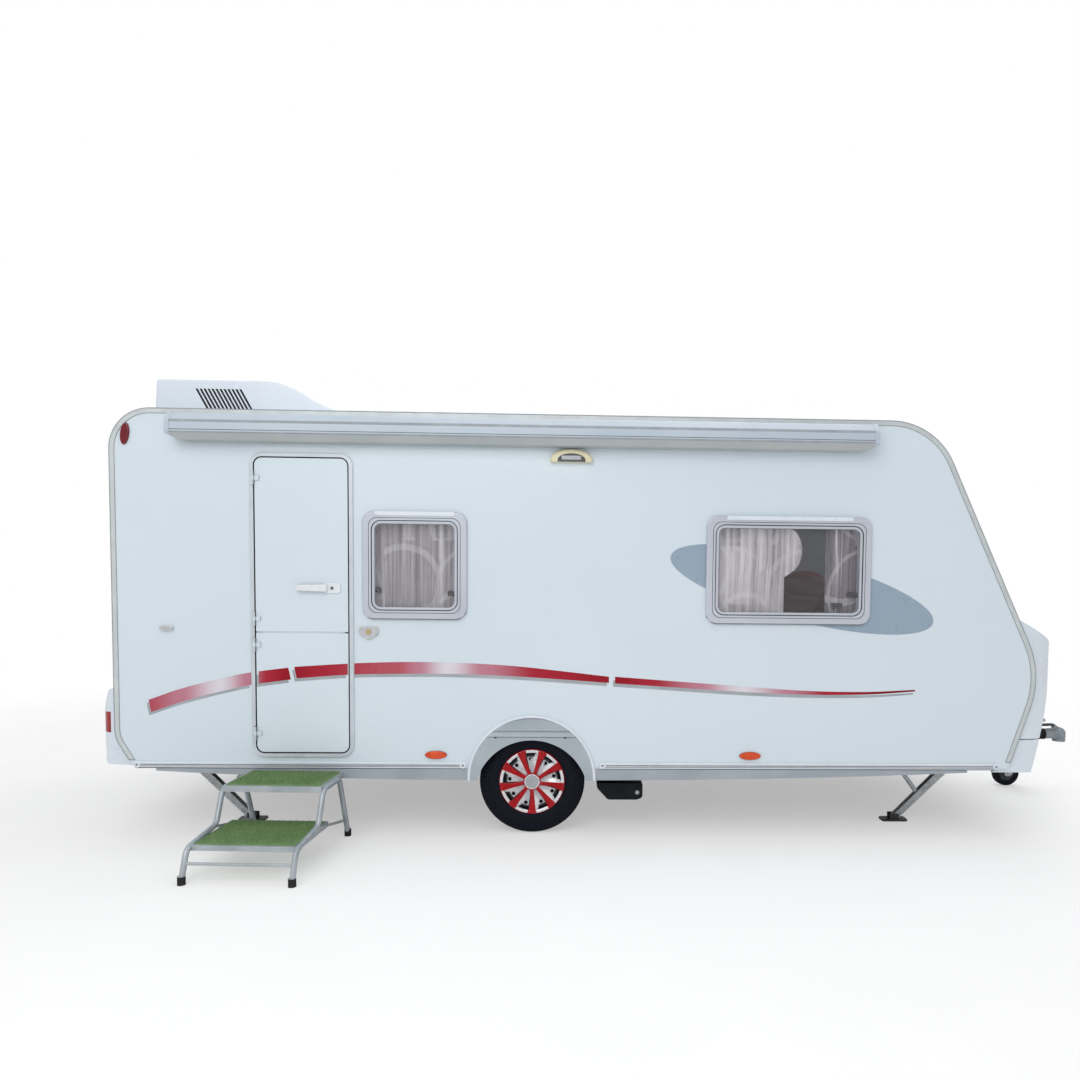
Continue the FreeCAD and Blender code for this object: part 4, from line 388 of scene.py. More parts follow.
def build_materials():
    """Every finish."""
    for make in (body_paint, galvanised, tinted_glass, stripe_paint, turf_green):
        make()
    for name, stops in NET_TONES.items():
        net_curtain(name, stops)
    for hand, sign in (("right", 1), ("left", -1)):
        low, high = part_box("trim_" + hand)
        trim_plate("plate_" + hand, sign, (low + high) / 2)
    surface("moulding_white", (0.67, 0.73, 0.795), (0.68, 0.74, 0.805), 1.1, (0.26, 0.31), coat=0.25,
            detail=2.0)
    surface("trim_grey", (0.52, 0.56, 0.56), (0.62, 0.66, 0.66), 9.0, (0.35, 0.5), 0.25)
    # white of the side rails and door strip, also used for painted highlight on the window frames' fronts and
    # on the arch covers' edges and shelves
    surface("rail_white", (0.66, 0.72, 0.78), (0.74, 0.79, 0.84), 6.0, (0.25, 0.38), coat=0.2)
    surface("door_strip", (0.52, 0.57, 0.62), (0.62, 0.67, 0.71), 7.0, (0.28, 0.42), 0.2)
    surface("skirt_grey", (0.30, 0.34, 0.38), (0.38, 0.42, 0.46), 4.0, (0.35, 0.5))
    surface("arch_grey", (0.33, 0.38, 0.42), (0.41, 0.46, 0.50), 4.0, (0.3, 0.42), coat=0.1)
    surface("frame_silver", (0.48, 0.51, 0.57), (0.55, 0.58, 0.64), 3.0, (0.3, 0.38), 0.2)
    surface("case_shade", (0.38, 0.41, 0.41), (0.44, 0.47, 0.47), 3.0, (0.35, 0.5))
    surface("case_line", (0.26, 0.29, 0.32), (0.34, 0.37, 0.40), 12.0, (0.5, 0.7))
    # dark grey of painted shade in grooves and on the downward faces of the window frames
    surface("shade_grey", (0.16, 0.17, 0.19), (0.24, 0.25, 0.27), 12.0, (0.5, 0.7))
    surface("latch_black", (0.012, 0.012, 0.014), (0.035, 0.035, 0.04), 50.0, (0.25, 0.4), coat=0.3)
    surface("case_white", (0.43, 0.50, 0.57), (0.48, 0.55, 0.62), 2.0, (0.28, 0.4), coat=0.15)
    surface("handle_white", (0.70, 0.74, 0.77), (0.78, 0.81, 0.83), 20.0, (0.2, 0.3), coat=0.3)
    surface("light_beige", (0.66, 0.60, 0.40), (0.76, 0.70, 0.50), 16.0, (0.35, 0.5))
    surface("vent_grey", (0.52, 0.55, 0.58), (0.60, 0.63, 0.66), 14.0, (0.4, 0.55))
    surface("roof_plastic", (0.60, 0.66, 0.72), (0.70, 0.75, 0.80), 6.0, (0.2, 0.35), coat=0.2)
    surface("floor_board", (0.16, 0.13, 0.10), (0.25, 0.21, 0.17), 8.0, (0.6, 0.8), stretch=(1, 6, 1))
    surface("cast_grey", (0.20, 0.23, 0.25), (0.30, 0.34, 0.37), 16.0, (0.45, 0.6), 0.4, grain=0.0004)
    surface("step_grey", (0.33, 0.37, 0.40), (0.46, 0.50, 0.53), 8.0, (0.28, 0.42), 0.35)
    surface("mover_black", (0.004, 0.005, 0.007), (0.012, 0.013, 0.016), 20.0, (0.4, 0.6), grain=0.0004)
    surface("rim_black", (0.015, 0.016, 0.017), (0.05, 0.05, 0.055), 30.0, (0.4, 0.55), 0.3)
    surface("trim_silver", (0.68, 0.68, 0.70), (0.78, 0.78, 0.80), 25.0, (0.22, 0.35), 0.3)
    surface("trim_red", (0.30, 0.003, 0.006), (0.42, 0.006, 0.012), 25.0, (0.2, 0.32), coat=0.1)
    surface("hub_grey", (0.34, 0.35, 0.38), (0.42, 0.43, 0.46), 40.0, (0.3, 0.4), 0.4)
    surface("brass", (0.50, 0.40, 0.20), (0.62, 0.50, 0.26), 60.0, (0.25, 0.4), 0.9)
    surface("plate_chrome", (0.55, 0.57, 0.58), (0.72, 0.73, 0.74), 30.0, (0.12, 0.25), 0.7)
    surface("ellipse_blue", (0.26, 0.345, 0.43), (0.29, 0.375, 0.46), 1.5, (0.24, 0.34), coat=0.3)
    surface("stripe_shade", (0.30, 0.33, 0.36), (0.40, 0.43, 0.46), 6.0, (0.3, 0.4))
    # near black of painted shade in the slots
    surface("slot_shade", (0.010, 0.011, 0.012), (0.035, 0.037, 0.040), 40.0, (0.6, 0.8))
    surface("room_grey", (0.35, 0.34, 0.34), (0.42, 0.41, 0.41), 3.0, (0.6, 0.8))
    rubber("tyre_black")
    # black of rubber seals, gaskets and feet, also used for painted shade in grooves, gaps and under ledges
    rubber("seal_black", (0.015, 0.015, 0.017), (0.035, 0.035, 0.037))
    wood("cabinet_brown", (0.26, 0.105, 0.075), (0.40, 0.180, 0.130))
    wood("furniture_wood", (0.12, 0.055, 0.035), (0.27, 0.15, 0.095))
    cloth("bolster_red", (0.30, 0.018, 0.030), (0.42, 0.040, 0.055))
    cloth("seat_fabric", (0.20, 0.13, 0.10), (0.34, 0.25, 0.20))
    lens("lamp_red", (0.22, 0.002, 0.004), (0.36, 0.005, 0.008))
    lens("lamp_amber", (0.58, 0.042, 0.004), (0.74, 0.085, 0.008))
    lens("marker_red", (0.11, 0.004, 0.009), (0.21, 0.012, 0.020))
    feed(looks["roof_plastic"].node_tree.nodes["Principled BSDF"], {"Alpha": 0.6})
    for name in ("trim_red", "stripe_red", "lamp_red", "marker_red", "lamp_amber", "mover_black",
                 "tyre_black", "seal_black"):
        feed(looks[name].node_tree.nodes["Principled BSDF"], {"Specular IOR Level": 0.15})


build_materials()
FINISH = {
    "body_white": ["side_wall_right", "side_wall_left", "front_panel", "rear_panel", "roof_panel",
                   "upper_door", "lower_door"],
    "moulding_white": ["gas_locker_lid", "front_valance", "rear_bumper", "rooflight_frame", "service_hatch",
                       "air_conditioner"],
    "trim_grey": ["edge_trims"], "rail_white": ["side_rails"], "door_strip": ["door_frame"],
    "skirt_grey": ["side_skirts"], "arch_grey": ["wheel_arch_covers"], "frame_silver": ["window_frames"],
    "tinted_glass": ["window_panes"], "plate_chrome": ["wall_fittings"], "handle_white": ["door_handle"],
    "case_white": ["awning_case"], "light_beige": ["awning_light"], "vent_grey": ["roof_vent", "side_vents"],
    "roof_plastic": ["rooflight_lid"], "floor_board": ["floor_panel", "gas_locker_box"],
    "galvanised": ["chassis_rails", "drawbar", "handbrake_lever", "axle_beam", "jockey_clamp", "jockey_leg",
                   "jockey_fork"],
    "cast_grey": ["coupling_head"], "mover_black": ["mover_units"],
    "tyre_black": ["jockey_wheel", "tyre_right", "tyre_left"],
    "rim_black": ["rim_right", "rim_left"], "trim_silver": ["trim_right", "trim_left"],
    "furniture_wood": ["furniture"], "seat_fabric": ["seat_cushions"], "step_grey": ["step_frame"],
    "turf_green": ["step_treads"], "lamp_red": ["lamps"], "net_curtain": ["curtains"],
}
for end in ("front", "rear"):
    for hand in ("right", "left"):
        FINISH["galvanised"] += [f"steady_leg_{end}_{hand}", f"steady_strut_{end}_{hand}"]


def finish_nodes():
    """Give every node of the frame its finish."""
    for name, nodes in FINISH.items():
        for node in nodes:
            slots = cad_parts[node].data.materials
            slots.clear()
            slots.append(looks[name])


def repaint(node, name, test):
    """Second finish on the faces of a node that pass a test on centre and normal."""
    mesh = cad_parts[node].data
    mesh.materials.append(looks[name])
    index = len(mesh.materials) - 1
    for face in mesh.polygons:
        if test(face.center, face.normal):
            face.material_index = index


def placed(name, data):
    """New object in the scene."""
    made = bpy.data.objects.new(name, data)
    bpy.context.scene.collection.objects.link(made)
    return made


def piece_of(name, mesh, mat, body, smooth):
    """Object made of a mesh, with its finish, riding on a body."""
    mesh.materials.append(looks[mat])
    if smooth:
        mesh.polygons.foreach_set("use_smooth", [True] * len(mesh.polygons))
    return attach(placed(name, mesh), body)


def mesh_piece(name, verts, faces, mat, body="chassis", smooth=False):
    """Mesh object from points and faces, riding on a body."""
    mesh = bpy.data.meshes.new(name)
    mesh.from_pydata([tuple(v) for v in verts], [], faces)
    return piece_of(name, mesh, mat, body, smooth)


def joined(rows, closed=True, flip=False):
    """Points and faces of the skin between rows of points."""
    count, faces = len(rows[0]), []
    for a in range(0, (len(rows) - 1) * count, count):
        for i in range(count if closed else count - 1):
            j = (i + 1) % count
            quad = (a + i, a + j, a + count + j, a + count + i)
            faces.append(quad[::-1] if flip else quad)
    return [v for row in rows for v in row], faces


def curve_at(points, x):
    """Height of a smooth curve through points, at a place along it."""
    for i in range(len(points) - 1):
        (x1, y1), (x2, y2) = points[i], points[i + 1]
        if x <= x2 or i == len(points) - 2:
            x0, y0 = points[i - 1] if i else (2 * x1 - x2, 2 * y1 - y2)
            x3, y3 = points[i + 2] if i + 2 < len(points) else (2 * x2 - x1, 2 * y2 - y1)
            t = (x - x1) / (x2 - x1)
            m1 = (y2 - y0) / (x2 - x0) * (x2 - x1)
            m2 = (y3 - y1) / (x3 - x1) * (x2 - x1)
            h = 2 * t ** 3 - 3 * t ** 2
            return (h + 1) * y1 + (t ** 3 - 2 * t ** 2 + t) * m1 - h * y2 + (t ** 3 - t ** 2) * m2


def film(name, columns, y, mat, body):
    """Thin film on a wall from (x low, z low, x high, z high) columns, outside facing away from y 0."""
    rows = [[(x0, y, z0), (x1, y, z1)] for x0, z0, x1, z1 in columns]
    return mesh_piece(name, *joined(rows, closed=False, flip=y < 0), mat, body)


def stripe_columns(top, low, cut, shift=(0, 0)):
    """Columns of one stripe between two cuts along the wall."""
    columns = []
    start, end = max(top[0][0], cut[0]), min(top[-1][0], cut[1])
    count = max(2, int((end - start) / STRIPE_STEP))
    slant_start = low[0][0] - top[0][0] if start == top[0][0] else 0
    slant_end = low[-1][0] - top[-1][0] if end == top[-1][0] else 0
    for i in range(count + 1):
        t = i / count
        x_top = start + (end - start) * t
        x_low = x_top + slant_start * (1 - t) + slant_end * t
        columns.append((x_low + shift[0], curve_at(low, x_low) + shift[1], x_top + shift[0],
                        curve_at(top, x_top) + shift[1]))
    return columns


def build_stripes():
    """The red stripes with their grey shade, on both walls and the lower door."""
    frame_low, frame_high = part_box("door_frame")
    zones = {"right": [(-9, frame_low.x - 0.002, "chassis", WALL_Y),
                       (frame_high.x + 0.002, 9, "chassis", WALL_Y),
                       (frame_low.x + 0.045, frame_high.x - 0.035, "lower_door", WALL_Y - 0.010)],
             "left": [(-9, 9, "chassis", LEFT_WALL_Y)]}
    for hand, spans in zones.items():
        for part, (top, low) in STRIPES.items():
            for n, (x0, x1, body, y) in enumerate(spans):
                if top[0][0] > x1 - 0.02 or top[-1][0] < x0 + 0.02:
                    continue
                lift = -DECAL_LIFT if y < 0 else DECAL_LIFT
                name = f"stripe_{hand}_{part}_{n}"
                shade = stripe_columns(top, low, (x0, x1), STRIPE_SHADOW)
                film(name + "_shade", shade, y + lift / 2, "stripe_shade", body)
                film(name, stripe_columns(top, low, (x0, x1)), y + lift, "stripe_red", body)


def build_ellipse():
    """Grey-blue ellipse on each wall, cut out under the window frame."""
    a, b = ELLIPSE_HALF
    c, s = cos(ELLIPSE_TILT), sin(ELLIPSE_TILT)
    reach = sqrt((a * c) ** 2 + (b * s) ** 2)
    half_w, half_h = DINETTE["size"][0] / 2 - 0.02, DINETTE["size"][1] / 2 - 0.02
    wx, wz = DINETTE["at"]
    x_behind, x_ahead = wx - half_w - ELLIPSE_AT[0], wx + half_w - ELLIPSE_AT[0]
    spans = {"behind": (-reach, x_behind), "under": (x_behind, x_ahead), "ahead": (x_ahead, reach)}
    for hand, wall, sign in WALLS:
        for part, (x0, x1) in spans.items():
            columns = []
            for i in range(61):
                t = i / 60
                x = x0 + (x1 - x0) * (t if part == "under" else (1 - cos(pi * t)) / 2)
                x = min(max(x, -reach * 0.99999), reach * 0.99999)
                p, q = (s / a) ** 2 + (c / b) ** 2, 2 * x * c * s * (1 / a ** 2 - 1 / b ** 2)
                r = (x * c / a) ** 2 + (x * s / b) ** 2 - 1
                root = sqrt(max(q * q - 4 * p * r, 0))
                z0, z1 = (-q - root) / (2 * p) + ELLIPSE_AT[1], (-q + root) / (2 * p) + ELLIPSE_AT[1]
                if part == "under":
                    z1 = min(z1, wz - half_h)
                    if z0 > z1 - 0.002:
                        continue
                columns.append((x + ELLIPSE_AT[0], z0, x + ELLIPSE_AT[0], z1))
            film(f"ellipse_{hand}_{part}", columns, wall + sign * DECAL_LIFT, "ellipse_blue", "chassis")


def pleats(s, phase):
    """Depth of a curtain's folds, in metres, at a distance along its rail."""
    wide = 0.6 * sin(2 * pi * s / 0.088 + phase)
    return 0.0085 * (wide + 0.4 * sin(2 * pi * s / 0.057 + 2.3 * phase + 1.1))


def curtain(name, ends, z_span, y, phase, bulge=None):
    """Net curtain hung in pleats from its rail, with UV in metres of cloth."""
    (x0, x1), (z0, z1) = ends, z_span
    across, down = max(12, int((x1 - x0) / 0.005)), 24
    rows, cloth_at, longest = [], [], 0
    for j in range(down + 1):
        z = z1 + (z0 - z1) * j / down
        reach = x1
        if bulge:
            middle, half, out = bulge
            reach += out * sqrt(max(0, 1 - ((z - middle) / half) ** 2))
        rows.append([])
        run, last = 0, None
        for i in range(across + 1):
            x = x0 + (reach - x0) * i / across
            sway = pleats((x1 - x0) * i / across, phase + 0.5 * sin(2.1 * z + phase))
            here = Vector((x, y + sway * (0.75 + 0.25 * j / down), z))
            run += (here - last).length if last else 0
            last = here
            rows[-1].append(here)
            cloth_at.append((x0 + run, z))
        longest = max(longest, run)
    piece = mesh_piece(name, *joined(rows, closed=False, flip=True), "net_curtain", smooth=True)
    uv = piece.data.uv_layers.new(name="cloth")
    for loop in piece.data.loops:
        uv.data[loop.index].uv = cloth_at[loop.vertex_index]
    # Nets other than the dinette's rear ones take a copy with painted shade: full shade at the dinette's
    # front, half shade in the kitchen.
    if "dinette_rear" not in name:
        piece.data.materials[0] = looks["net_painted_shade" if "dinette" in name else "net_painted_half_shade"]
    return piece


def build_curtains():
    """Nets behind the side windows: two meet at a seam, two are drawn apart."""
    low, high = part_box("curtains")
    y = low.y + 0.012
    gap_low, gap_high = CURTAIN_GAP
    seam = KITCHEN["at"][0]
    half = KITCHEN["size"][0] / 2 - CURTAIN_INSET
    rear_end = DINETTE["at"][0] - DINETTE["size"][0] / 2 + CURTAIN_INSET
    spans = [("kitchen_rear", (seam - half, seam + 0.002), None),
             ("kitchen_front", (seam + 0.004, seam + half), None),
             ("dinette_rear", (rear_end, gap_low), CURTAIN_BULGE),
             ("dinette_front", (gap_high, high.x), None)]
    first = None
    for k, (part, ends, bulge) in enumerate(spans):
        for hand, depth in (("right", y), ("left", -y)):
            piece = curtain(f"curtain_{part}_{hand}", ends, (low.z, high.z), depth, 1.7 * k + 0.4,
                            bulge if hand == "right" else None)
            first = first or piece
    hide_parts("curtains")


def soft_box(name, low, high, mat, edge=0.03, crown=0.012, body="chassis"):
    """Stuffed block with round edges and crowned faces."""
    shape = bmesh.new()
    bmesh.ops.create_cube(shape, size=2.0)
    bmesh.ops.subdivide_edges(shape, edges=shape.edges[:], cuts=9, use_grid_fill=True)
    middle, half = (low + high) / 2, (high - low) / 2
    for vert in shape.verts:
        spot = Vector([vert.co[k] * half[k] for k in range(3)])
        core = Vector([min(max(spot[k], edge - half[k]), half[k] - edge) for k in range(3)])
        away = spot - core
        rounded = core + away.normalized() * edge
        sag = [1 - crown * (1 - (1 - vert.co[(k + 1) % 3] ** 2) * (1 - vert.co[(k + 2) % 3] ** 2)) / half[k]
               for k in range(3)]
        vert.co = middle + Vector([rounded[k] * sag[k] for k in range(3)])
    mesh = bpy.data.meshes.new(name)
    shape.to_mesh(mesh)
    shape.free()
    return piece_of(name, mesh, mat, body, True)


def solids_of(node):
    """Lowest and highest corners of each separate solid of a node, in order of place."""
    shape = bmesh.new()
    shape.from_mesh(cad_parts[node].data)
    bmesh.ops.remove_doubles(shape, verts=shape.verts[:], dist=1e-6)
    left, boxes = set(shape.verts), []
    while left:
        stack, part = [left.pop()], []
        while stack:
            vert = stack.pop()
            part.append(vert.co)
            for edge in vert.link_edges:
                other = edge.other_vert(vert)
                if other in left:
                    left.remove(other)
                    stack.append(other)
        boxes.append((Vector([min(p[k] for p in part) for k in range(3)]),
                      Vector([max(p[k] for p in part) for k in range(3)])))
    shape.free()
    return sorted(boxes, key=lambda box: [round(c, 4) for c in box[0]])


def build_cushions():
    """Seat and back cushions of the dinette, and the red bolster on the cabinet."""
    first = None
    for n, (low, high) in enumerate(solids_of("seat_cushions")):
        bolster = low.z > 1.5
        piece = soft_box(f"cushion_{n}", low, high, "bolster_red" if bolster else "seat_fabric", 0.035,
                         0.004 if bolster else 0.012)
        if bolster:
            for vert in piece.data.vertices:
                t = (2 * vert.co.x - low.x - high.x) / (high.x - low.x)
                vert.co.z = low.z + 0.002 + (vert.co.z - low.z) * (1.2 - 0.75 * t * t)
        first = first or piece
    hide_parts("seat_cushions")


def build_turf():
    """Blades of plastic grass standing on the two treads."""
    verts, faces = [], []
    spacing = 0.0055
    turn = Matrix.Rotation(STEP_TURN, 3, "Z")
    for low, high in solids_of("step_treads"):
        mid = (low + high) / 2
        wide, deep = tread_size(low, high)
        for i in range(int(wide / spacing)):
            for j in range(int(deep / spacing)):
                x = -wide / 2 + (i + rng.random()) * spacing
                y = -deep / 2 + (j + rng.random()) * spacing
                angle, tall = rng.uniform(0, 2 * pi), rng.uniform(0.006, 0.0105)
                side = Vector((cos(angle), sin(angle), 0)) * 0.0016
                lean = Vector((rng.uniform(-1, 1), rng.uniform(-1, 1), 0)) * 0.004
                root = turn @ Vector((x, y, 0)) + Vector((mid.x, mid.y, high.z - 0.0005))
                n = len(verts)
                verts += [root - side, root + side, root + lean + Vector((0, 0, tall))]
                faces.append((n, n + 1, n + 2))
    mesh_piece("turf_blades", verts, faces, "turf_green", "step")


def tread_size(low, high):
    """Width and depth of a turned tread from the limits of its box."""
    c, s = cos(STEP_TURN), abs(sin(STEP_TURN))
    a, b = high.x - low.x, high.y - low.y
    wide = (a * c - b * s) / (c * c - s * s)
    return wide - 0.006, (a - wide * c) / s - 0.006


def ring_mesh(name, profile, centre, mat, body, turns=128, wobble=None):
    """Surface of revolution about Y from (y, radius) points, with an optional change of radius."""
    rows = []
    for t in range(turns):
        angle = 2 * pi * t / turns
        rows.append([])
        for k, (y, r) in enumerate(profile):
            r += wobble(t, k) if wobble else 0
            rows[-1].append(Vector((r * sin(angle), y, r * cos(angle))) + centre)
    verts, faces = joined(rows + rows[:1], closed=False)
    total = turns * len(profile)
    return mesh_piece(name, verts[:total], [tuple(v % total for v in face) for face in faces], mat, body)


def build_tyres():
    """Tyres with circumferential grooves, shoulder blocks and moulded sidewall rings."""
    for hand in ("right", "left"):
        low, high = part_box("tyre_" + hand)
        centre = (low + high) / 2
        w, r = (high.y - low.y) / 2, (high.z - low.z) / 2
        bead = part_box("rim_" + hand)
        rim_r = (bead[1].z - bead[0].z) / 2 + 0.0003
        half = [(w - inward, rim_r + out) for inward, out in TYRE_WALL] + [(w - 0.029, r - 0.004),
                                                                           (w - 0.040, r - 0.0005)]
        grooves = []
        for mid in TYRE_GROOVES:
            grooves += [(mid + 0.005, r - 0.0002), (mid + 0.0035, r - GROOVE_DEPTH),
                        (mid - 0.0035, r - GROOVE_DEPTH), (mid - 0.005, r - 0.0002)]
        profile = half + grooves + [(-y, radius) for y, radius in reversed(half)]
        last = len(profile) - 1
        block = lambda t, k: -BLOCK_CUT if 13 < min(k, last - k) < 18 and t % 4 == 0 else 0
        tyre = ring_mesh("tyre_look_" + hand, profile, centre, "tyre_black", "wheel_" + hand, 256, block)
        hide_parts("tyre_" + hand)


def paint_trims():
    """Red spokes with silver blades, silver ring and holed plate, grey hub with its ring."""
    for hand, sign in (("right", 1), ("left", -1)):
        node = "trim_" + hand
        low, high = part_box(node)
        centre = (low + high) / 2
        front = low.y if sign > 0 else high.y

        def place(point, normal):
            """Radius, depth and the normal's turn about the nearest spoke."""
            x, z = (point.x - centre.x) * sign, point.z - centre.z
            angle = max((SPOKE_TURN + 2 * pi * k / SPOKES for k in range(SPOKES)),
                        key=lambda a: x * sin(a) + z * cos(a))
            side = normal.x * sign * cos(angle) - normal.z * sin(angle)
            return hypot(x, z), abs(point.y - front), side, x * cos(angle) - z * sin(angle)

        def red(point, normal):
            """Crown and far edge of the spokes, and the hub's flange."""
            r, depth, side, across = place(point, normal)
            flange = FLANGE_R[0] < r < FLANGE_R[1]
            half = 0.027 if r > 0.180 else 0.032
            crown = depth < 0.0155 and side > -0.35 and abs(across) < half
            return flange or SPOKE_R[0] < r < SPOKE_R[1] and crown

        repaint(node, "trim_red", red)
        repaint(node, "trim_red", lambda p, n: place(p, n)[0] > TRIM_EDGE_R)
        repaint(node, "hub_grey", lambda p, n: place(p, n)[0] < HUB_R)
        repaint(node, "plate_" + hand, lambda p, n: 0.0145 < abs(p.y - front) < 0.0175 and n.y * sign < -0.9)


def build_latches():
    """Turn latches and stays inside the side windows, with a bar each for the hand."""
    low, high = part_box("window_panes")
    for hand, sign in (("right", 1), ("left", -1)):
        y = (low.y + 0.034) * sign
        for n, (x, z, tilt) in enumerate(LATCHES):
            half = Vector((0.036, 0.007, 0.017))
            body = soft_box(f"latch_{hand}_{n}", Vector((x, y, z)) - half, Vector((x, y, z)) + half,
                            "latch_black", 0.006, 0.001)
            half = Vector((0.034, 0.005, 0.008))
            arm = soft_box(f"latch_arm_{hand}_{n}", -half, half, "latch_black", 0.0045, 0.001)
            spot = Matrix.Translation((x, y - 0.010 * sign, z - 0.004))
            arm.data.transform(spot @ Matrix.Rotation(tilt, 4, "Y"))


def rounded_path(w, h, radius, steps=8):
    """Points round a rectangle with round corners, about its middle."""
    points = []
    for k, (sx, sz) in enumerate(((1, 1), (-1, 1), (-1, -1), (1, -1))):
        for i in range(steps + 1):
            angle = pi / 2 * (k + i / steps)
            points.append((sx * (w / 2 - radius) + radius * cos(angle),
                           sz * (h / 2 - radius) + radius * sin(angle)))
    return points


def window_ring(name, window, y, profile, mat):
    """Moulding round a side window's glass, from (inset, height off the wall side) points."""
    (cx, cz), (w, h) = window["at"], window["size"]
    rows = []
    for inset, out in profile:
        path = rounded_path(w - 2 * inset, h - 2 * inset, WINDOW_CORNER - inset)
        rows.append([Vector((cx + x, y + (out if y > 0 else -out), cz + z)) for x, z in path])
    mesh_piece(name, *joined(rows, flip=y > 0), mat)


def build_window_rings():
    """Black gasket, silver pane rim and its bright inner edge round the side windows."""
    for hand, side, _ in WALLS:
        for part, window in (("kitchen", KITCHEN), ("dinette", DINETTE)):
            for ring, mat, profile in WINDOW_RINGS:
                window_ring(f"window_{part}_{hand}_{ring}", window, side, profile, mat)


def border_lines(name, node, depth, width, mat, on_strip):
    """Thin lines along the outer or inner border of the flat front of a side trim."""
    for hand, side, sign in WALLS:
        seen, mesh = {}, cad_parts[node].data
        for face in mesh.polygons:
            if face.normal.y * sign > 0.99 and abs(face.center.y - side - sign * depth) < 0.0004:
                for a, b in face.edge_keys:
                    key = tuple(sorted(tuple(round(c, 5) for c in mesh.vertices[v].co) for v in (a, b)))
                    seen.setdefault(key, []).append(face.center)
        verts, faces = [], []
        for (a, b), centres in seen.items():
            if len(centres) > 1:
                continue
            a, b = Vector(a), Vector(b)
            away = (b - a).cross(Vector((0, 1, 0))).normalized()
            away = away if away.dot(centres[0] - a) < 0 else -away
            outer = away.dot(a - Vector((0.3, 0, 1.4))) > 0
            if outer == on_strip:
                shift = away * (-width if on_strip else width)
                lift = Vector((0, side + sign * (depth + 0.0003 if on_strip else 0.0006) - a.y, 0))
                quad = [a + lift, b + lift, b + lift + shift, a + lift + shift]
                flip = ((quad[1] - quad[0]).cross(quad[2] - quad[0])).y * sign < 0
                faces.append(tuple(len(verts) + k for k in ((3, 2, 1, 0) if flip else (0, 1, 2, 3))))
                verts += quad
        if faces:
            mesh_piece(f"{name}_{hand}", verts, faces, mat)


def build_small_parts():
    """Strip in the gap between the door leaves, keyholes and the mover's end bolts."""
    lower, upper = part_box("lower_door"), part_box("upper_door")
    gap = (lower[1].z + 0.0006, upper[0].z - 0.0006)
    strip = soft_box("door_weather_strip", Vector((lower[0].x + 0.02, WALL_Y - 0.0085, gap[0])),
                     Vector((lower[1].x - 0.02, WALL_Y - 0.002, gap[1])),
                     "rail_white", 0.002, 0, "upper_door")
    for name, at, y, radius, mat, slot in (
            ("door_keyhole", KEYHOLE, WALL_Y - 0.0225, 0.0065, "latch_black", "black_rubber"),
            ("door_barrel", KEYHOLE, WALL_Y - 0.0221, 0.0110, "hub_grey", "chromed_plastic"),
            ("mover_bolt_right", MOVER_BOLT, -MOVER_FACE_Y, 0.013, "hub_grey", "galvanised_steel"),
            ("mover_bolt_left", MOVER_BOLT, MOVER_FACE_Y, 0.013, "hub_grey", "galvanised_steel")):
        sign = -1 if y < 0 else 1
        profile = [(y, radius), (y + 0.0008 * sign, radius * 0.94), (y + 0.001 * sign, radius * 0.3),
                   (y + 0.0006 * sign, 0.0001)]
        body = "upper_door" if name.startswith("door") else "chassis"
        ring_mesh(name, profile, Vector((at[0], 0, at[1])), mat, body, 24)


def half_moon(name, cx, half, foot, height, layers, mat):
    """Half-moon shell against the door side's wall; each layer is an inset and a y."""
    arc = [(cos(pi * k / 24), max(0, sin(pi * k / 24)) ** 0.75) for k in range(25)]
    rows = [[Vector((cx + (half - inset) * c, y, foot + (height - inset) * s)) for c, s in arc]
            for inset, y in layers]
    verts, faces = joined(rows)
    faces.append(tuple(range(len(verts) - len(arc), len(verts))))
    return mesh_piece(name, verts, faces, mat)


def build_awning_lamp():
    """Half-moon housing of the lamp under the awning, with its dark arched frame and its glass."""
    low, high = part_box("awning_light")
    cx, half, height, proud = (low.x + high.x) / 2, (high.x - low.x) / 2, high.z - low.z, high.y - low.y
    steps = ((0, 0), (0, 0.65), (0.004, 0.86), (0.012, 0.97))
    layers = [(inset, high.y - out * proud) for inset, out in steps]
    housing = half_moon("awning_lamp_housing", cx, half, low.z, height, layers, "light_beige")
    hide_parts("awning_light")
    layers = [(inset, high.y - out * proud) for inset, out in ((0, 0.8), (0, 0.98), (0.003, 0.99))]
    surround = half_moon("awning_lamp_frame", cx, 0.084, low.z + 0.001, 0.050, layers, "latch_black")
    glass = soft_box("awning_lamp_glass", Vector((cx - 0.062, high.y - proud, low.z + 0.012)),
                     Vector((cx + 0.062, high.y - 0.85 * proud, low.z + 0.038)), "hub_grey", 0.0015, 0)


def build_rail_lines():
    """Line of painted shade in the groove along the side rails."""
    for n, (low, high) in enumerate(solids_of("side_rails")):
        y = low.y - 0.0003 if low.y < 0 else high.y + 0.0003
        x0, x1, z0, z1 = low.x + 0.037, high.x - 0.037, low.z + 0.021, low.z + 0.026
        quad = [(x0, y, z0), (x1, y, z0), (x1, y, z1), (x0, y, z1)]
        line = mesh_piece(f"rail_line_{n}", quad, [(0, 1, 2, 3) if y < 0 else (3, 2, 1, 0)], "shade_grey")


def build_screws():
    """Screws with round heads in the caps of the side rails."""
    low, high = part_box("side_rails")
    for n, x in enumerate(RAIL_SCREWS):
        for hand, y, sign in (("right", low.y, -1), ("left", high.y, 1)):
            profile = [(y + 0.001 * sign * k, r) for k, r in SCREW_HEAD]
            head = ring_mesh(f"rail_screw_{hand}_{n}", profile, Vector((x, 0, (low.z + high.z) / 2)),
                             "cast_grey", "chassis", 20)


def within_window(p, inset):
    """Whether a point of a side window's frame lies farther than an inset from its border."""
    return any(abs(p.x - w["at"][0]) < w["size"][0] / 2 - inset
               and abs(p.z - w["at"][1]) < w["size"][1] / 2 - inset for w in (KITCHEN, DINETTE))


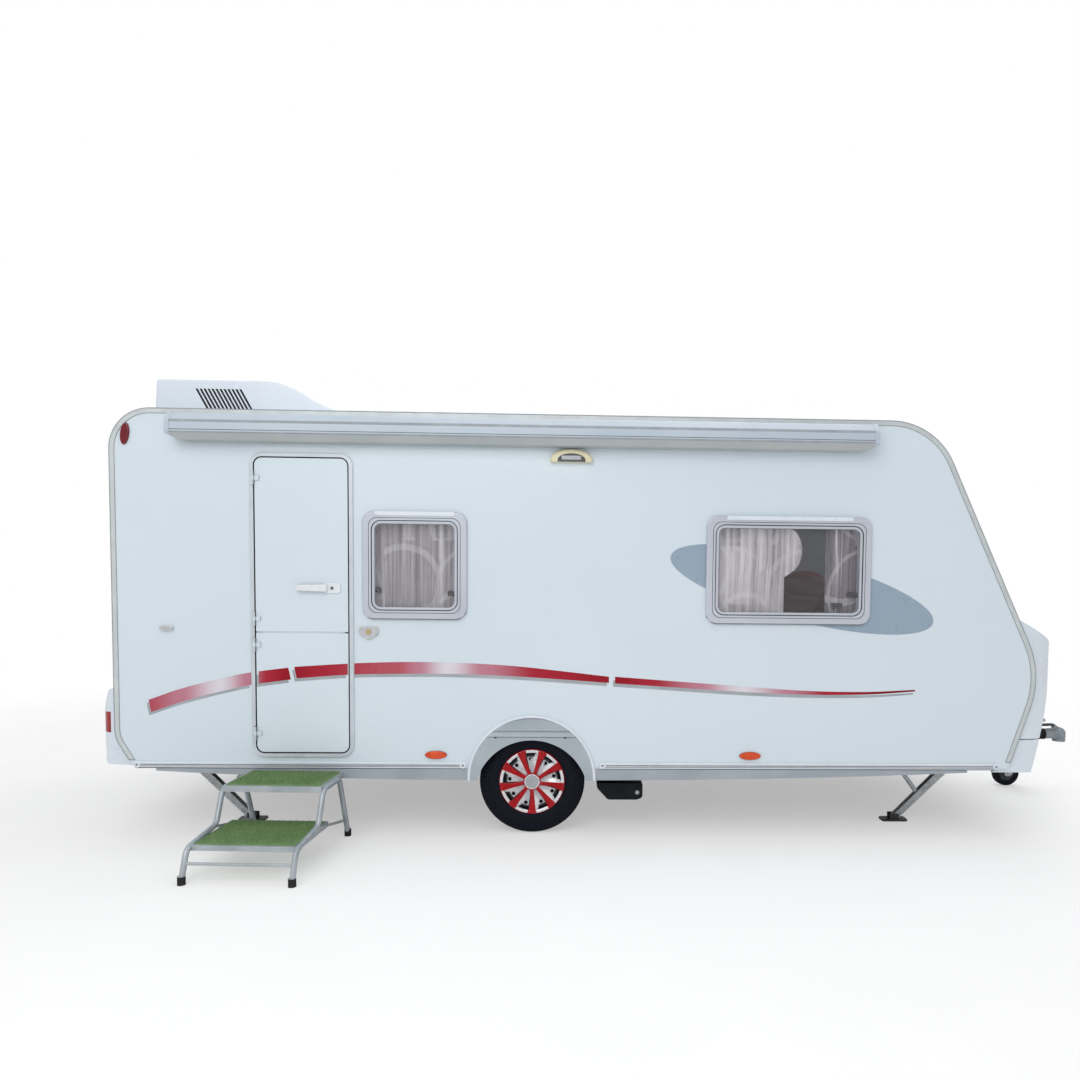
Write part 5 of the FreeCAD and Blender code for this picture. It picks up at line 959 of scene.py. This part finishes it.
def paint_fittings():
    """Second finishes of the awning case, roof unit, lamps, step, rails, doors and underside, with painted
    shade under the awning case and in its grooves, in the roof unit's slots, in and under the rails and in
    the gaps round the door.
    """
    side = abs(WALL_Y)
    low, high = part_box("awning_case")
    repaint("awning_case", "case_shade", lambda p, n: p.z < low.z + 0.030 and abs(p.y) > side + 0.02)
    # painted shade in the grooves of the awning case
    repaint("awning_case", "case_line", lambda p, n: low.y + 0.0035 < p.y < low.y + 0.0095
            and low.z + 0.02 < p.z < high.z - 0.03 and abs(p.x) < high.x - 0.03)
    unit_low, unit_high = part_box("air_conditioner")
    # painted shade in the slots of the roof unit
    repaint("air_conditioner", "slot_shade", lambda p, n: SLOTS_Z[0] < p.z - unit_low.z < SLOTS_Z[1]
            and SLOTS_X[0] < p.x - unit_low.x < SLOTS_X[1]
            and 0.001 < min(p.y - unit_low.y, unit_high.y - p.y) < SLOT_DEPTH)
    repaint("lamps", "marker_red", lambda p, n: p.z > MARKERS_ABOVE)
    repaint("lamps", "lamp_amber", lambda p, n: p.x > AMBER_AHEAD)
    repaint("lamps", "seal_black", lambda p, n: p.x > AMBER_AHEAD and abs(p.y) < side + 0.0072)
    repaint("step_frame", "seal_black", lambda p, n: p.z < RUBBER_FOOT_Z and hypot(n.x, n.y) > 0.5
            or p.z < 0.002)
    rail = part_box("side_rails")[0].z
    # painted shade in the rails' groove
    repaint("side_rails", "shade_grey", lambda p, n: abs(p.z - rail - 0.0133) < 0.0026
            and abs(p.y) < side + 0.0125)
    # painted shade on the lowest faces of the rails
    repaint("side_rails", "seal_black", lambda p, n: p.z < rail + 0.005)
    # painted shade in the gaps round the door: the edges of the leaves black
    for leaf in ("lower_door", "upper_door"):
        repaint(leaf, "seal_black", lambda p, n: abs(n.y) < 0.3)
    # painted shade in the gaps round the door: the frame's inner edges black
    middle = sum(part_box("door_frame"), Vector()) / 2
    repaint("door_frame", "seal_black", lambda p, n: abs(n.y) < 0.3
            and n.x * (middle.x - p.x) + n.z * (middle.z - p.z) > 0)
    for end in ("front", "rear"):
        for hand in ("right", "left"):
            repaint(f"steady_leg_{end}_{hand}", "latch_black", lambda p, n: p.z < 0.045)
    repaint("furniture", "cabinet_brown", lambda p, n: p.z > 1.31 and 2.0 < p.x < 2.45)
    repaint("wall_fittings", "brass", lambda p, n: abs(p.x - LOCK_X) < LOCK_HALF and p.y < WALL_Y - 0.0145)
    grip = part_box("coupling_head")[0]
    repaint("coupling_head", "latch_black", lambda p, n: p.z > grip.z + 0.115)
    repaint("coupling_head", "seal_black", lambda p, n: grip.x + 0.15 < p.x < grip.x + 0.25)
    hub = sum(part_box("jockey_wheel"), Vector()) / 2
    repaint("jockey_wheel", "rim_black", lambda p, n: hypot(p.x - hub.x, p.z - hub.z) < 0.063)


def paint_window_frames():
    """Painted shade in the groove and under the frames, black gasket bed, white rail and painted highlight on
    the front, and painted shade on the back of the window frames.
    """
    side = abs(WALL_Y)
    for mat, test in (
            # painted shade on the walls of the groove
            ("seal_black", lambda p, n: within_window(p, FRAME_LIP) and abs(n.y) < 0.95
             and FRAME_GROOVE[0] < abs(p.y) - side < FRAME_GROOVE[1]),
            # painted shade on the faces of the frames that look down
            ("shade_grey", lambda p, n: n.z < -0.25 and abs(p.x) < 2.2 and abs(p.y) > side
             and not within_window(p, FRAME_BORDER)),
            ("seal_black", lambda p, n: FRAME_BED[0] < abs(p.y) - side < FRAME_BED[1] and abs(n.y) > 0.9),
            # white of the top rail and painted highlight on the frontmost faces
            ("rail_white", lambda p, n: abs(p.y) > side + FRAME_FRONT),
            ("room_grey", lambda p, n: abs(p.y) < side + FRAME_BACK and abs(p.x) < 2.3)):
        repaint("window_frames", mat, test)


def paint_arches():
    """Painted highlight on the edge and on the tops of the shelves, and painted shade under the shelves, of
    the wheel arch covers.
    """
    # painted highlight on the outer edge and on the tops of the shelves
    repaint("wheel_arch_covers", "rail_white", lambda p, n: hypot(p.x, p.z - ARCH_CENTRE_Z) > ARCH_EDGE_R
            or n.z > 0.8 and p.z > ARCH_SHELF_Z)
    # painted shade under the shelves
    repaint("wheel_arch_covers", "seal_black", lambda p, n: n.z < -0.8 and p.z > ARCH_SHELF_Z)


def build_camera():
    """Camera at the photograph's place, with the frame shifted as the photograph was cropped."""
    data = bpy.data.cameras.new("photo_camera")
    data.sensor_width = SENSOR_MM
    data.lens = FOCAL_PX * SENSOR_MM / PHOTO_PX
    data.shift_x = (PHOTO_PX / 2 - AXIS_PX[0]) / PHOTO_PX
    data.shift_y = (AXIS_PX[1] - PHOTO_PX / 2) / PHOTO_PX
    data.clip_end = 200
    camera = placed("photo_camera", data)
    level = Vector((-sin(CAMERA_YAW), cos(CAMERA_YAW), 0))
    ahead = level * cos(CAMERA_PITCH) + Vector((0, 0, sin(CAMERA_PITCH)))
    right = Vector((cos(CAMERA_YAW), sin(CAMERA_YAW), 0))
    up = right.cross(ahead)
    rolled_right = right * cos(CAMERA_ROLL) + up * sin(CAMERA_ROLL)
    rolled_up = up * cos(CAMERA_ROLL) - right * sin(CAMERA_ROLL)
    turn = Matrix((rolled_right, rolled_up, -ahead)).transposed().to_4x4()
    camera.matrix_world = Matrix.Translation(CAMERA_AT) @ turn
    bpy.context.scene.camera = camera


def build_light():
    """White surround for the camera, a soft dome for the object and two large panels."""
    world = bpy.data.worlds.new("studio")
    bpy.context.scene.world = world
    world.use_nodes = True
    tree = world.node_tree
    tree.nodes.clear()
    up = add(tree, "SeparateXYZ", {0: add(tree, "TexCoord").outputs["Generated"]}).outputs[2]
    dome = ramp(tree, spread(tree, up, 0.0, 1.0, (-0.2, 1.0)),
                [(0.0, (0.58, 0.59, 0.61)), (0.25, (0.73, 0.74, 0.76)), (1.0, (1.0, 1.0, 1.0))])
    soft = add(tree, "Background", {0: dome, 1: 0.80})
    white = add(tree, "Background", {0: color((1, 1, 1)), 1: 1.0})
    path = add(tree, "LightPath").outputs
    seen = sum_of(tree, "MAXIMUM", path["Is Camera Ray"], path["Is Transmission Ray"])
    both = add(tree, "MixShader", {0: seen, 1: soft.outputs[0], 2: white.outputs[0]})
    add(tree, "OutputWorld", {0: both.outputs[0]})
    for name, at, aim, size, power in (("panel_front", (-1.6, -7.5, 5.5), (0.4, -1, 1.2), 5.0, 195),
                                       ("panel_top", (1.5, 1.0, 8.0), (0, 0, 1), 7.0, 190),
                                       ("panel_back", (3.5, 7.5, 4.5), (0, 1, 1.2), 5.0, 170)):
        data = bpy.data.lights.new(name, "AREA")
        data.size = size
        data.energy = power
        lamp = placed(name, data)
        lamp.location = at
        lamp.rotation_euler = (Vector(aim) - Vector(at)).to_track_quat("-Z", "Y").to_euler()


def build_floor():
    """Pale floor that fades into the white surround."""
    tree, shader = new_material("studio_floor")
    where = coords(tree)
    far = add(tree, "VectorMath", {0: where}, operation="LENGTH").outputs["Value"]
    pale = tones(tree, noise(tree, where, 1.5, 3.0), (0.90, 0.90, 0.90), (0.93, 0.93, 0.93))
    feed(shader, {"Base Color": pale, "Roughness": 0.9})
    glow = add(tree, "Emission", {0: color((1, 1, 1)), 1: 1.0})
    seen = add(tree, "LightPath").outputs["Is Camera Ray"]
    edges = {"Value": far, "From Min": 4.0, "From Max": 9.0, "To Min": 0.42, "To Max": 1.0}
    fade = add(tree, "MapRange", edges, interpolation_type="SMOOTHSTEP").outputs[0]
    amount = sum_of(tree, "MULTIPLY", fade, seen)
    both = add(tree, "MixShader", {0: amount, 1: shader.outputs[0], 2: glow.outputs[0]})
    feed(tree.nodes["Material Output"], {0: both.outputs[0]})
    mesh = bpy.data.meshes.new("floor")
    shape = bmesh.new()
    bmesh.ops.create_circle(shape, cap_ends=True, segments=96, radius=60)
    shape.to_mesh(mesh)
    shape.free()
    mesh.materials.append(looks["studio_floor"])
    placed("floor", mesh)


build_camera()
build_light()
build_floor()
finish_nodes()
build_stripes()
build_ellipse()
build_curtains()
build_cushions()
build_turf()
build_tyres()
paint_trims()
build_latches()
build_awning_lamp()
build_rail_lines()
build_screws()
build_window_rings()
build_small_parts()
border_lines("trim_outer_line", "edge_trims", 0.004, 0.006, "case_line", True)
border_lines("trim_inner_line", "edge_trims", 0.004, 0.003, "case_line", False)
paint_fittings()
paint_window_frames()
paint_arches()

bpy.context.scene.view_settings.view_transform = "Standard"
